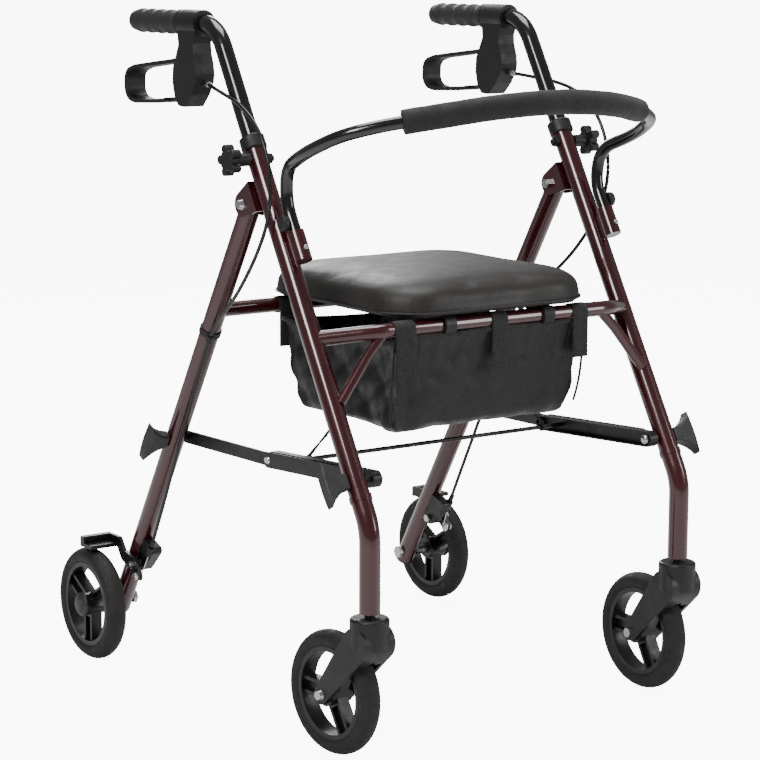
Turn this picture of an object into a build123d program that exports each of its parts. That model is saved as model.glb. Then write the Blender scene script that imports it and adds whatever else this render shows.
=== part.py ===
"""A folding rollator walker: steel A-frames, two casters, two braked rear wheels, seat, bag and backrest.

Millimetres.  +Z is up, -Y is the front (where the casters and the backrest bow are), +X is the user's
left.  The origin is on the floor under the middle of the bounding box.
"""

from build123d import *
import os
from math import cos, hypot, pi, radians, sin, tan

os.makedirs("parts", exist_ok=True)

# ---------------------------------------------------------------- driving dimensions
SIDES = {"right": -1, "left": 1}  # the user's right is -X

SIDE_X = 240.0  # both A-frames lie in the planes X = +-240
LEAN = 30.0  # main tubes lean this far back from upright

TUBE_R = 12.7  # 1 inch frame tube
TUBE_BORE = 11.5
HANDLE_R = 11.1  # 7/8 inch handle tube
HANDLE_BORE = 9.7
BAR_R = 9.5  # 3/4 inch crossbars
BACK_R = 8.0  # backrest tube
GAP = 0.3  # running clearance

WHEEL_R = 76.2  # 6 inch wheels
WHEEL_HALF = 14.0
RIM_R = 57.0
REAR_WHEEL_X = 287.6
REAR_AXLE = (278.0, WHEEL_R)  # Y, Z
STEM_Y = -308.4
TRAIL = 64.0
CASTER_YAW = {"right": 5.0, "left": 1.5}  # degrees each caster is turned outwards at rest

RING = (-287.9, 323.2)  # Y, Z of the swaged ring at the foot of the main tube
TOP_S = 447.5  # length of the main tube above that ring
PIVOT = (-55.8, 645.6)  # Y, Z of the rear leg's hinge bolt
BRACE_FRONT_S = 18.2  # where the brace bolts to the main tube
BRACE_REAR_D = 373.9  # where it bolts to the rear leg, from the hinge bolt
KNEE = (-67.2, 326.7)  # Y, Z of the brace's middle rivet
FRONT_BAR_S = 198.4  # where the front crossbar leaves the main tube
FRONT_BAR = (-233.0, 504.5)  # Y, Z of its straight middle, the seat's hinge line
FRONT_BAR_CORNER_X = 180.0
REAR_BAR = (25.0, 505.0)  # Y, Z of the rear crossbar
HANDLE_Z = 860.6
HANDLE_END_Y = 217.0

SEAT_HALF_X = 153.0
SEAT_Y = (-246.0, 64.0)
SEAT_Z = (516.0, 558.0)
BAG_X = (-160.0, 142.0)  # it hangs a little towards the user's right
BAG_Y = (-241.0, 13.5)
BAG_Z = (376.0, 490.0)

# ---------------------------------------------------------------- shared geometry
UP = (0, sin(radians(LEAN)), cos(radians(LEAN)))  # along the main tube, upwards
FORE = (0, -cos(radians(LEAN)), sin(radians(LEAN)))  # square to it, towards the front

LEG_DY = REAR_AXLE[0] - PIVOT[0]
LEG_DZ = REAR_AXLE[1] - PIVOT[1]
LEG_LENGTH = hypot(LEG_DY, LEG_DZ)
DOWN = (0, LEG_DY / LEG_LENGTH, LEG_DZ / LEG_LENGTH)  # along the rear leg, downwards
LEG_FORE = (0, DOWN[2], -DOWN[1])  # square to it, towards the front


def on_main(side, s, fore=0.0, out=0.0):
    """A point s above the ring along a main tube, moved forward and outward from its axis."""
    x = SIDES[side] * (SIDE_X + out)
    return (x, RING[0] + s * UP[1] + fore * FORE[1], RING[1] + s * UP[2] + fore * FORE[2])


def on_leg(side, d, fore=0.0, out=0.0):
    """A point d below the hinge bolt along a rear leg, moved forward and outward from its axis."""
    x = SIDES[side] * (SIDE_X + out)
    y = PIVOT[0] + d * DOWN[1] + fore * LEG_FORE[1]
    z = PIVOT[1] + d * DOWN[2] + fore * LEG_FORE[2]
    return (x, y, z)


def across(x, y, z, side="left"):
    """A plane square to X at a point, its normal pointing outwards on the named side."""
    return Plane(origin=(x, y, z), x_dir=(0, 1, 0), z_dir=(SIDES[side], 0, 0))


def side_view(x):
    """The side elevation at x: sketch x is world Y, sketch y is world Z, normal +X."""
    return Plane(origin=(x, 0, 0), x_dir=(0, 1, 0), z_dir=(1, 0, 0))


def mirrored(half):
    """A route from the left side carried on, mirrored, to the right side."""
    return half + [(-x, y, z) for x, y, z in reversed(half)]


def bend_radii(points, cap):
    """One radius for each inner corner, as large as its two runs allow."""
    radii = []
    for before, here, after in zip(points[:-2], points[1:-1], points[2:]):
        run_in = Vector(*here) - Vector(*before)
        run_out = Vector(*after) - Vector(*here)
        turn = radians(run_in.get_angle(run_out))
        radii.append(min(cap, 0.45 * min(run_in.length, run_out.length) / tan(turn / 2)))
    return radii


def cut_main_tubes():
    """Take both main tubes' outer cylinders out of the part being built: a fishmouth joint."""
    for side in SIDES:
        with BuildSketch(Plane(origin=on_main(side, -5), z_dir=UP)) as disc:
            Circle(TUBE_R)
        extrude(disc.sketch, amount=TOP_S, mode=Mode.SUBTRACT)


def cut_rear_legs():
    """The same for both rear legs."""
    for side in SIDES:
        with BuildSketch(Plane(origin=on_leg(side, -20), z_dir=DOWN)) as disc:
            Circle(TUBE_R)
        extrude(disc.sketch, amount=LEG_LENGTH, mode=Mode.SUBTRACT)


def drill_across(point, radius, reach=60):
    """A hole along X through the part being built."""
    with BuildSketch(across(*point)) as disc:
        Circle(radius)
    extrude(disc.sketch, amount=reach, both=True, mode=Mode.SUBTRACT)


def save(piece, name):
    piece.part.label = name
    export_step(piece.part, f"parts/{name}.step")


# ---------------------------------------------------------------- front frame
KNOB_BOLT_R = 4.0
WING_BOLT_R = 3.0
KNOB_S = TOP_S - 11  # height bolt, just under the collar
HINGE_BOLT_R = 4.0


def main_tube(side):
    """The leaning tube that carries the handle above and the caster leg below."""
    with BuildPart() as tube:
        with BuildSketch(Plane(origin=on_main(side, 0), z_dir=UP)):
            Circle(TUBE_R)
            Circle(TUBE_BORE, mode=Mode.SUBTRACT)
        extrude(amount=TOP_S)
        drill_across(on_main(side, KNOB_S), KNOB_BOLT_R + GAP)
        drill_across(on_main(side, BRACE_FRONT_S), WING_BOLT_R + GAP)
    return tube


LEG_FOOT_Z = 187.0
STEM_R = 6.0


def lower_legs():
    """The bent caster legs: a spigot inside each main tube, a ring, a bend and a caster stem."""
    corner_s = -(RING[0] - STEM_Y) / UP[1]
    with BuildPart() as legs:
        for side in SIDES:
            route = [on_main(side, 0), on_main(side, corner_s)]
            x, y, z = route[-1]
            route.append((x, y, LEG_FOOT_Z))
            with BuildLine() as centre:
                FilletPolyline(*route, radius=bend_radii(route, 110))
            with BuildSketch(Plane(origin=route[0], z_dir=Vector(*route[1]) - Vector(*route[0]))):
                Circle(TUBE_R)
                Circle(TUBE_BORE, mode=Mode.SUBTRACT)
            sweep(path=centre.wires()[0])
            with BuildSketch(Plane(origin=on_main(side, -7), z_dir=UP)):
                Circle(TUBE_R + 1.2)
                Circle(TUBE_BORE - 1.6, mode=Mode.SUBTRACT)
            extrude(amount=7)
            with BuildSketch(Plane(origin=on_main(side, -7), z_dir=UP)):
                Circle(TUBE_BORE - 0.1)
                Circle(TUBE_BORE - 1.6, mode=Mode.SUBTRACT)
            extrude(amount=50)
            with BuildSketch(Plane.XY.offset(LEG_FOOT_Z)):
                with Locations((x, y)):
                    Circle(TUBE_R)
            extrude(amount=18)
            with BuildSketch(Plane.XY.offset(FORK_TOP_Z - 38)):
                with Locations((x, y)):
                    Circle(STEM_R)
            extrude(amount=LEG_FOOT_Z - FORK_TOP_Z + 40)
            drill_across(on_main(side, BRACE_FRONT_S), WING_BOLT_R + GAP, 20)
    return legs


GUSSET_R = 6.5
BAR_BORE = BAR_R - 1.5


def front_bar_route():
    """Leg to leg: forward and inward out of each main tube, then straight across."""
    y, z = FRONT_BAR
    half = [on_main("left", FRONT_BAR_S), (FRONT_BAR_CORNER_X, y, z)]
    return mirrored(half)


def front_crossbar():
    """The bowed bar under the seat's front, with a bent gusset down to each main tube."""
    y, z = FRONT_BAR
    route = front_bar_route()
    with BuildPart() as bar:
        with BuildLine() as centre:
            FilletPolyline(*route, radius=bend_radii(route, 45))
        with BuildSketch(Plane(origin=route[0], z_dir=Vector(*route[1]) - Vector(*route[0]))):
            Circle(BAR_R)
        sweep(path=centre.wires()[0])
        for side, sign in SIDES.items():
            foot = on_main(side, 113, 8, -6)
            gusset = [(sign * 170, y, z - 5), (sign * 192, y - 1, z - 27), foot]
            with BuildLine() as brace:
                FilletPolyline(*gusset, radius=bend_radii(gusset, 90))
            with BuildSketch(Plane(origin=gusset[0], z_dir=Vector(*gusset[1]) - Vector(*gusset[0]))):
                Circle(GUSSET_R)
            sweep(path=brace.wires()[0])
        cut_main_tubes()
    return bar


CHEEK_IN = 13.3  # half the inside width of the hinge bracket
CHEEK_T = 2.0


def pivot_brackets():
    """A folded channel welded behind each main tube, holding the rear leg's hinge bolt."""
    pivot_s = (PIVOT[0] - RING[0]) * UP[1] + (PIVOT[1] - RING[1]) * UP[2]
    with BuildPart() as brackets:
        for side, sign in SIDES.items():
            back = -(TUBE_R + 0.1)
            with BuildSketch(side_view(sign * SIDE_X)):
                with BuildLine():
                    corners = [on_main(side, pivot_s + t, back) for t in (-22, 18)]
                    corners += [on_main(side, pivot_s + t, back - 12) for t in (16, -20)]
                    Polyline(*[(p[1], p[2]) for p in corners], close=True)
                make_face()
                with Locations(PIVOT):
                    Circle(15)
                make_hull()
            extrude(amount=CHEEK_IN + CHEEK_T, both=True)
            inside = on_main(side, pivot_s, back - CHEEK_T)
            web_plane = Plane(origin=inside, x_dir=(1, 0, 0), z_dir=(0, -FORE[1], -FORE[2]))
            with BuildSketch(web_plane):
                Rectangle(2 * CHEEK_IN, 90)
            extrude(amount=60, mode=Mode.SUBTRACT)
            drill_across((sign * SIDE_X, *PIVOT), HINGE_BOLT_R + 0.05, 30)
    return brackets


def pivot_bolts():
    """Domed bolt and nut through each hinge bracket and rear leg."""
    reach = CHEEK_IN + CHEEK_T
    with BuildPart() as bolts:
        for side, sign in SIDES.items():
            inner = sign * (SIDE_X - reach - 7)
            with BuildSketch(across(inner, *PIVOT, side)):
                Circle(HINGE_BOLT_R)
            extrude(amount=2 * reach + 8)
            with BuildSketch(across(inner + sign * 1, *PIVOT, side)):
                RegularPolygon(6.5, 6)
            extrude(amount=6)
            with BuildSketch(across(sign * (SIDE_X + reach), *PIVOT, side)):
                Circle(7)
            extrude(amount=5, taper=22)
    return bolts


SOCKET_FORE = 31.0
SOCKET_S = (287.0, 325.0)
SOCKET_R = 10.6
BUTTON_S = 300.0
BUTTON_R = 3.2


def backrest_sockets():
    """Short sockets welded in front of the main tubes, with a button hole in front."""
    length = SOCKET_S[1] - SOCKET_S[0]
    with BuildPart() as sockets:
        for side in SIDES:
            foot = Plane(origin=on_main(side, SOCKET_S[0], SOCKET_FORE), x_dir=(1, 0, 0), z_dir=UP)
            web = Plane(origin=on_main(side, SOCKET_S[0] + 2, SOCKET_FORE / 2), x_dir=(1, 0, 0), z_dir=UP)
            with BuildSketch(foot):
                Circle(SOCKET_R)
            extrude(amount=length)
            with BuildSketch(web):
                Rectangle(7, SOCKET_FORE)
            extrude(amount=length - 6)
        cut_main_tubes()
        for side in SIDES:
            foot = Plane(origin=on_main(side, SOCKET_S[0], SOCKET_FORE), z_dir=UP)
            with BuildSketch(foot.offset(3)):
                Circle(BACK_R + 0.2)
            extrude(amount=length, mode=Mode.SUBTRACT)
            hole = Plane(origin=on_main(side, BUTTON_S, SOCKET_FORE), z_dir=FORE)
            with BuildSketch(hole):
                Circle(BUTTON_R + GAP)
            extrude(amount=20, mode=Mode.SUBTRACT)
    return sockets


def tube_collars():
    """Plastic collars that guide the handle tubes at the top of the main tubes."""
    with BuildPart() as collars:
        for side in SIDES:
            seat = Plane(origin=on_main(side, TOP_S), z_dir=UP)
            with BuildSketch(seat):
                Circle(15.8)
                Circle(HANDLE_R + GAP, mode=Mode.SUBTRACT)
            extrude(amount=18)
        rims = collars.edges().filter_by(GeomType.CIRCLE).filter_by(lambda e: abs(e.radius - 15.8) < 0.1)
        fillet(rims, 2.5)
    return collars


# ---------------------------------------------------------------- backrest
FOAM_R = 15.0
BACK_HALF_ROUTE = [  # left half, from the socket to the middle of the bow
    on_main("left", SOCKET_S[0] + 5, SOCKET_FORE),
    (240, -133, 653),
    (243, -139, 696),
    (253, -196, 719),
    (238, -243, 740),
    (200, -273, 752),
    (110, -322, 768),
    (38, -339, 775),
]
FOAM_FROM_CORNER = 24.0  # the foam starts this far along the bow's first flat run
BOW_RADIUS = 250.0


def backrest_tube():
    """One bent tube from socket to socket, bowing forward over the casters."""
    route = mirrored(BACK_HALF_ROUTE)
    with BuildPart() as tube:
        with BuildLine() as centre:
            FilletPolyline(*route, radius=bend_radii(route, BOW_RADIUS))
        with BuildSketch(Plane(origin=route[0], z_dir=UP)):
            Circle(BACK_R)
            Circle(BACK_R - 1.4, mode=Mode.SUBTRACT)
        sweep(path=centre.wires()[0])
        for side in SIDES:
            hole = Plane(origin=on_main(side, BUTTON_S, SOCKET_FORE), z_dir=FORE)
            with BuildSketch(hole):
                Circle(BUTTON_R + GAP)
            extrude(amount=20, mode=Mode.SUBTRACT)
    return tube


def backrest_foam():
    """Foam sleeve round the middle of the backrest tube."""
    full = mirrored(BACK_HALF_ROUTE)
    radii = bend_radii(full, BOW_RADIUS)
    corner = Vector(*full[5])
    along = (Vector(*full[6]) - corner).normalized()
    first = corner + along * FOAM_FROM_CORNER
    last = Vector(-first.X, first.Y, first.Z)
    route = [tuple(first), full[6], full[7], full[8], full[9], tuple(last)]
    with BuildPart() as foam:
        with BuildLine() as centre:
            FilletPolyline(*route, radius=radii[5:9])
        with BuildSketch(Plane(origin=tuple(first), z_dir=along)):
            Circle(FOAM_R)
            Circle(BACK_R + 0.2, mode=Mode.SUBTRACT)
        sweep(path=centre.wires()[0])
    return foam


def backrest_stop_knobs():
    """Round rubber caps on the outer side of the backrest tube, just above the sockets."""
    s = SOCKET_S[1] + 12
    with BuildPart() as knobs:
        for side, sign in SIDES.items():
            x, y, z = on_main(side, s, SOCKET_FORE, BACK_R + 0.1)
            with BuildSketch(across(x, y, z, side)):
                Circle(9.5)
            extrude(amount=9)
        fillet(knobs.edges().filter_by(GeomType.CIRCLE), 2.5)
    return knobs


def snap_button(side):
    """The sprung button that stands in the socket's front hole and locks the backrest."""
    with BuildPart() as button:
        with BuildSketch(Plane(origin=on_main(side, BUTTON_S, SOCKET_FORE + 2.2), z_dir=FORE)):
            Circle(BUTTON_R)
        extrude(amount=SOCKET_R + 1.6)
        fillet(button.faces().filter_by(GeomType.PLANE).sort_by(Axis.Y)[0].edges(), 1.2)
    return button


# ---------------------------------------------------------------- handles and brake levers
HANDLE_FOOT_S = KNOB_S - 175
HOLE_PITCH = 25.0
HOLES = 7
HOUSING_HALF = 13.5
HOUSING_Y = (52.0, 97.0)
LEVER_AXIS = (88.0, 812.0)  # Y, Z of the lever's pin
LEVER_HALF = 14.5
LEVER_T = 5.0
CABLE_R = 2.4
BARREL = (52.0, 787.0)  # Y, Z where the cable leaves the housing


def handle_tube(side):
    """Telescoping handle tube: seven height holes, then a bend back into the grip."""
    sign = SIDES[side]
    corner_s = (HANDLE_Z - RING[1]) / UP[2]
    route = [on_main(side, HANDLE_FOOT_S), on_main(side, corner_s)]
    route.append((sign * SIDE_X, HANDLE_END_Y - 6, HANDLE_Z))
    with BuildPart() as tube:
        with BuildLine() as centre:
            FilletPolyline(*route, radius=bend_radii(route, 55))
        with BuildSketch(Plane(origin=route[0], z_dir=UP)):
            Circle(HANDLE_R)
            Circle(HANDLE_BORE, mode=Mode.SUBTRACT)
        sweep(path=centre.wires()[0])
        for number in range(HOLES):
            drill_across(on_main(side, KNOB_S - number * HOLE_PITCH), KNOB_BOLT_R + GAP, 20)
    return tube


GRIP_Y = (99.0, HANDLE_END_Y)
GRIP_GROOVES = 4


def grip(side):
    """Closed rubber grip with a flange at its front end and finger grooves."""
    x = SIDES[side] * SIDE_X
    front, back = GRIP_Y
    pitch = (back - front - 24) / GRIP_GROOVES
    with BuildPart() as rubber:
        with BuildSketch(side_view(x)):
            with BuildLine():
                outline = [(front, HANDLE_Z + HANDLE_R + 0.1), (front, HANDLE_Z + 16.2)]
                outline.append((front + 8, HANDLE_Z + 16.2))
                for groove in range(GRIP_GROOVES):
                    y = front + 8 + groove * pitch
                    outline += [(y + pitch * 0.5, HANDLE_Z + 14.0), (y + pitch, HANDLE_Z + 15.6)]
                spline_end = outline[-1]
                Polyline(*outline[:3])
                Spline(*outline[2:])
                Polyline(spline_end, (back, HANDLE_Z + 13), (back, HANDLE_Z))
                Polyline((back, HANDLE_Z), (back - 5, HANDLE_Z), (back - 5, HANDLE_Z + HANDLE_R + 0.1))
                Line((back - 5, HANDLE_Z + HANDLE_R + 0.1), outline[0])
            make_face()
        revolve(axis=Axis((x, 0, HANDLE_Z), (0, 1, 0)))
    return rubber


def brake_housing(side):
    """Moulded lever housing clamped round the handle tube, hanging below it."""
    x = SIDES[side] * SIDE_X
    profile = [(52, 866), (54, 846), (58, 836), (57, 824), (52, 810), (50, 798), (52, 788)]
    profile += [(62, 772), (78, 756), (94, 757), (103, 767), (108, 786), (107, 804)]
    profile += [(99, 820), (93, 833), (95, 848), (97, 866)]
    screws = ((90, 826), (98, 796), (88, 771))
    with BuildPart() as housing:
        with BuildSketch(side_view(x)):
            Polygon(*profile, align=None)
            fillet(vertices().group_by(Axis.Y)[:-1][0], 5)
        extrude(amount=HOUSING_HALF, both=True)
        with BuildSketch(Plane(origin=(x, HOUSING_Y[0], HANDLE_Z), x_dir=(1, 0, 0), z_dir=(0, 1, 0))):
            Circle(16.5)
        extrude(amount=HOUSING_Y[1] - HOUSING_Y[0])
        with BuildSketch(Plane(origin=(x, 20, HANDLE_Z), x_dir=(1, 0, 0), z_dir=(0, 1, 0))):
            Circle(HANDLE_R + 0.05)
        extrude(amount=120, mode=Mode.SUBTRACT)
        with BuildSketch(Plane(origin=on_main(side, 500), z_dir=UP)):
            Circle(HANDLE_R + 0.05)
        extrude(amount=100, mode=Mode.SUBTRACT)
        with BuildSketch(side_view(x)):
            Polygon((74, 798), (74, 823), (120, 829), (120, 796), align=None)
        extrude(amount=8, both=True, mode=Mode.SUBTRACT)
        drill_across((x, *LEVER_AXIS), 2.8, HOUSING_HALF - 2)
        for face in (-1, 1):
            floor_x = x + face * (HOUSING_HALF - 2.5)
            recess = Plane(origin=(floor_x, 0, 0), x_dir=(0, 1, 0), z_dir=(face, 0, 0))
            with BuildSketch(recess):
                with Locations(*screws):
                    RegularPolygon(4, 6)
            extrude(amount=10, mode=Mode.SUBTRACT)
        mouth = (x, BARREL[0] + 4, BARREL[1])
        with BuildSketch(Plane(origin=mouth, x_dir=(1, 0, 0), z_dir=(0, -1, -0.12))):
            Circle(4.2)
        extrude(amount=10)
    return housing


def brake_lever(side):
    """Flat strip bent into a finger loop, its narrow root pinned inside the housing."""
    x = SIDES[side] * SIDE_X
    route = [(82, 813.5), (104, 814), (147, 808.5), (203, 802), (226, 795)]
    route += [(227, 762), (203, 757.5), (142, 760.5), (124, 763.5)]
    with BuildPart() as lever:
        with BuildSketch(side_view(x)):
            with BuildLine():
                FilletPolyline(*route, radius=[60, 150, 60, 15, 17, 40, 80])
            trace(line_width=LEVER_T)
        extrude(amount=LEVER_HALF, both=True)
        for hand in (-1, 1):
            root = [(x + hand * 7, 70), (x + hand * 7, 122), (x + hand * 11, 134)]
            root += [(x + hand * LEVER_HALF, 152), (x + hand * 30, 152), (x + hand * 30, 70)]
            with BuildSketch(Plane.XY.offset(784)):
                Polygon(*root, align=None)
            extrude(amount=60, mode=Mode.SUBTRACT)
        with BuildSketch(side_view(x)):
            with Locations(LEVER_AXIS):
                Circle(6)
        extrude(amount=7, both=True)
        with BuildSketch(side_view(x)):
            with Locations(LEVER_AXIS):
                Circle(2.5)
        extrude(amount=HOUSING_HALF - 2.6, both=True)
    return lever


def star_knob(side):
    """Five-lobed knob, its boss and its long bolt through the main tube and the handle tube."""
    sign = SIDES[side]
    _, y, z = on_main(side, KNOB_S)
    with BuildPart() as knob:
        with BuildSketch(across(sign * (SIDE_X + 33), y, z, side)):
            Circle(13)
            with PolarLocations(14.2, 5):
                Circle(5.6)
        extrude(amount=13)
        fillet(knob.faces().filter_by(Axis.X).edges(), 1.6)
        with BuildSketch(across(sign * (SIDE_X + TUBE_R + 0.4), y, z, side)):
            Circle(8)
        extrude(amount=33 - TUBE_R)
        with BuildSketch(across(sign * (SIDE_X - TUBE_R - 9), y, z, side)):
            Circle(KNOB_BOLT_R)
        extrude(amount=40)
        with BuildSketch(across(sign * (SIDE_X - TUBE_R - 6), y, z, side)):
            RegularPolygon(7, 6)
        extrude(amount=5.5)
    return knob


# ---------------------------------------------------------------- rear frame
def rear_leg(side):
    """The straight rear leg: hinge bolt hole, brace bolt hole, axle hole."""
    with BuildPart() as leg:
        with BuildSketch(Plane(origin=on_leg(side, -13), z_dir=DOWN)):
            Circle(TUBE_R)
            Circle(TUBE_BORE, mode=Mode.SUBTRACT)
        extrude(amount=LEG_LENGTH + 13 + 14)
        drill_across(on_leg(side, 0), HINGE_BOLT_R + GAP, 20)
        drill_across(on_leg(side, BRACE_REAR_D), WING_BOLT_R + GAP, 20)
        drill_across(on_leg(side, LEG_LENGTH), 5.05, 20)
    return leg


def leg_plugs():
    """Plastic plugs in the top and bottom ends of the rear legs."""
    with BuildPart() as plugs:
        for side in SIDES:
            for d, toward in ((-13, -1), (LEG_LENGTH + 14, 1)):
                normal = tuple(toward * part for part in DOWN)
                with BuildSketch(Plane(origin=on_leg(side, d), z_dir=normal)):
                    Circle(TUBE_R - 0.5)
                extrude(amount=2.5)
                with BuildSketch(Plane(origin=on_leg(side, d - toward * 7), z_dir=normal)):
                    Circle(TUBE_BORE - 0.1)
                extrude(amount=7)
        drill_across(on_leg("left", 0), HINGE_BOLT_R + GAP, 600)
        drill_across(on_leg("left", LEG_LENGTH), 5.05, 600)
    return plugs


def rear_crossbar():
    """Straight bar between the rear legs, under the back of the seat."""
    y, z = REAR_BAR
    with BuildPart() as bar:
        with BuildSketch(Plane(origin=(-SIDE_X, y, z), z_dir=(1, 0, 0))):
            Circle(BAR_R)
            Circle(BAR_BORE, mode=Mode.SUBTRACT)
        extrude(amount=2 * SIDE_X)
        cut_rear_legs()
    return bar


HUB_R = 15.0
AXLE_R = 5.0
AXLE_HEAD_X = SIDE_X - TUBE_R - 4.5


def rear_axles():
    """Axle bolts through the feet of the rear legs, each with its spacer."""
    y, z = REAR_AXLE
    with BuildPart() as axles:
        for side, sign in SIDES.items():
            with BuildSketch(across(sign * AXLE_HEAD_X, y, z, side)):
                Circle(AXLE_R)
            extrude(amount=REAR_WHEEL_X - AXLE_HEAD_X + 8)
            with BuildSketch(across(sign * (AXLE_HEAD_X - 1.5), y, z, side)):
                RegularPolygon(9, 6)
            extrude(amount=5.5)
            with BuildSketch(across(sign * (SIDE_X + TUBE_R + 0.1), y, z, side)):
                Circle(8)
            extrude(amount=REAR_WHEEL_X - 18.5 - SIDE_X - TUBE_R)
    return axles


# ---------------------------------------------------------------- wheels
def wheel_plane(centre, outward):
    """The plane through a wheel's middle, its normal pointing outwards along the axle."""
    return Plane(origin=centre, x_dir=(-outward[1], outward[0], 0), z_dir=outward)


def tyre(plane):
    """Solid tyre with a crowned tread."""
    with BuildPart() as ring:
        profile = Plane(origin=plane.origin, x_dir=plane.x_dir, z_dir=plane.y_dir)
        with BuildSketch(profile):
            with BuildLine():
                inner, side, crown = RIM_R + 0.1, RIM_R + 8, WHEEL_R - 3.5
                Line((inner, -10.5), (inner, 10.5))
                ThreePointArc((inner, 10.5), (side, WHEEL_HALF), (crown, 9.5))
                ThreePointArc((crown, 9.5), (WHEEL_R, 0), (crown, -9.5))
                ThreePointArc((crown, -9.5), (side, -WHEEL_HALF), (inner, -10.5))
            make_face()
        revolve(axis=Axis(plane.origin, plane.z_dir))
    return ring


def rim(plane, hub_half, bore, spoke_turn, cap=0.0):
    """Moulded rim: hub, three channelled spokes, and a flanged ring under the tyre."""
    with BuildPart() as wheel:
        with BuildSketch(plane.offset(-11)):
            Circle(RIM_R)
            Circle(RIM_R - 6, mode=Mode.SUBTRACT)
        extrude(amount=22)
        with BuildSketch(plane.offset(-hub_half)):
            Circle(HUB_R)
        extrude(amount=2 * hub_half)
        with BuildSketch(plane.offset(-8)):
            with PolarLocations(33, 3, start_angle=spoke_turn):
                Rectangle(46, 21)
        extrude(amount=16)
        for face in (plane.offset(2), plane.offset(-8.5)):
            with BuildSketch(face):
                with PolarLocations(34.5, 3, start_angle=spoke_turn):
                    Rectangle(34, 13)
            extrude(amount=6.5, mode=Mode.SUBTRACT)
        if cap:
            with BuildSketch(plane.offset(hub_half)):
                Circle(HUB_R - 2)
            extrude(amount=cap, taper=30)
        with BuildSketch(plane.offset(-hub_half - 1)):
            Circle(bore)
        extrude(amount=2 * hub_half + (2 if not cap else -2), mode=Mode.SUBTRACT)
    return wheel


# ---------------------------------------------------------------- casters
FORK_TOP_Z = 182.0
FORK_R = 23.0
FORK_ARM_IN = 16.6
FORK_AXLE_R = 4.0


def caster_axes(side):
    """Unit vectors of a caster at rest: forward and outward."""
    yaw = radians(CASTER_YAW[side])
    sign = SIDES[side]
    return (-sign * sin(yaw), -cos(yaw), 0), (sign * cos(yaw), -sin(yaw), 0)


def caster_point(side, back, z, out=0.0):
    """A point behind the caster stem, in the caster's own directions."""
    forward, outward = caster_axes(side)
    x = SIDES[side] * SIDE_X - back * forward[0] + out * outward[0]
    return (x, STEM_Y - back * forward[1] + out * outward[1], z)


def caster_wheel_plane(side):
    return wheel_plane(caster_point(side, TRAIL, WHEEL_R), caster_axes(side)[1])


def fork(side):
    """Plastic caster fork: round head under the leg, two arms down to the axle."""
    forward, outward = caster_axes(side)
    rear = tuple(-part for part in forward)
    sign = SIDES[side]
    profile = Plane(origin=caster_point(side, 0, 0), x_dir=rear, z_dir=Vector(*rear).cross(Vector(0, 0, 1)))
    wheel = caster_wheel_plane(side)
    with BuildPart() as body:
        with BuildSketch(profile):
            with Locations((1, 150)):
                Circle(21.5)
            with Locations((TRAIL, WHEEL_R)):
                Circle(11.5)
            make_hull()
        extrude(amount=FORK_R, both=True)
        with BuildSketch(Plane.XY.offset(146)):
            with Locations((sign * SIDE_X, STEM_Y)):
                Circle(FORK_R + 0.8)
        extrude(amount=FORK_TOP_Z - 146)
        rim_edge = body.faces().sort_by(Axis.Z)[-1].edges()
        fillet(rim_edge, 4)
        with BuildSketch(wheel.offset(-FORK_ARM_IN)):
            Circle(WHEEL_R + 4)
        extrude(amount=2 * FORK_ARM_IN, mode=Mode.SUBTRACT)
        with BuildSketch(wheel.offset(-40)):
            Circle(FORK_AXLE_R + 0.05)
        extrude(amount=80, mode=Mode.SUBTRACT)
        with BuildSketch(Plane.XY.offset(120)):
            with Locations((sign * SIDE_X, STEM_Y)):
                Circle(STEM_R + GAP)
        extrude(amount=80, mode=Mode.SUBTRACT)
    return body


def front_axle(side):
    """Axle bolt with a domed head and a nut, through both fork arms."""
    wheel = caster_wheel_plane(side)
    with BuildPart() as bolt:
        with BuildSketch(wheel.offset(-FORK_R - 3)):
            Circle(FORK_AXLE_R)
        extrude(amount=2 * FORK_R + 6)
        with BuildSketch(wheel.offset(FORK_R + 0.05)):
            Circle(7)
        extrude(amount=4.5, taper=20)
        with BuildSketch(wheel.offset(-FORK_R - 5)):
            RegularPolygon(6.5, 6)
        extrude(amount=4.9)
    return bolt


# ---------------------------------------------------------------- brakes
BRAKE_D = LEG_LENGTH - 85  # bracket's place along the rear leg
BRAKE_FORE = 22.0
ANCHOR_FORE = 34.0  # the cable's stop stands further forward than the pivot
BRAKE_X = SIDE_X + 15.0  # inner face of the brake arm


def brake_pivot(side):
    return on_leg(side, BRAKE_D, BRAKE_FORE)


def brake_brackets():
    """Welded lugs in front of the rear legs: the brake arm's pivot and the cable's anchor."""
    with BuildPart() as brackets:
        for side, sign in SIDES.items():
            x, y, z = brake_pivot(side)
            with BuildSketch(side_view(x)):
                with BuildLine():
                    lug = [on_leg(side, BRAKE_D + t, 6) for t in (-34, 16)]
                    Polyline(*[(p[1], p[2]) for p in lug], (y, z - 8), (y - 3, z + 8), close=True)
                make_face()
                with Locations((y, z)):
                    Circle(9)
                with Locations(on_leg(side, BRAKE_D - 33, ANCHOR_FORE)[1:]):
                    Circle(6)
                make_hull()
            extrude(amount=7, both=True)
            with BuildSketch(Plane(origin=on_leg(side, -20), z_dir=DOWN)):
                Circle(TUBE_R)
            extrude(amount=LEG_LENGTH, mode=Mode.SUBTRACT)
            with BuildSketch(across(x - sign * 30, y, z, side)):
                Circle(3.05)
            extrude(amount=60, mode=Mode.SUBTRACT)
            anchor = on_leg(side, BRAKE_D - 40, ANCHOR_FORE, 8)
            with BuildSketch(Plane(origin=anchor, z_dir=DOWN)):
                Circle(5)
            extrude(amount=14)
    return brackets


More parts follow.
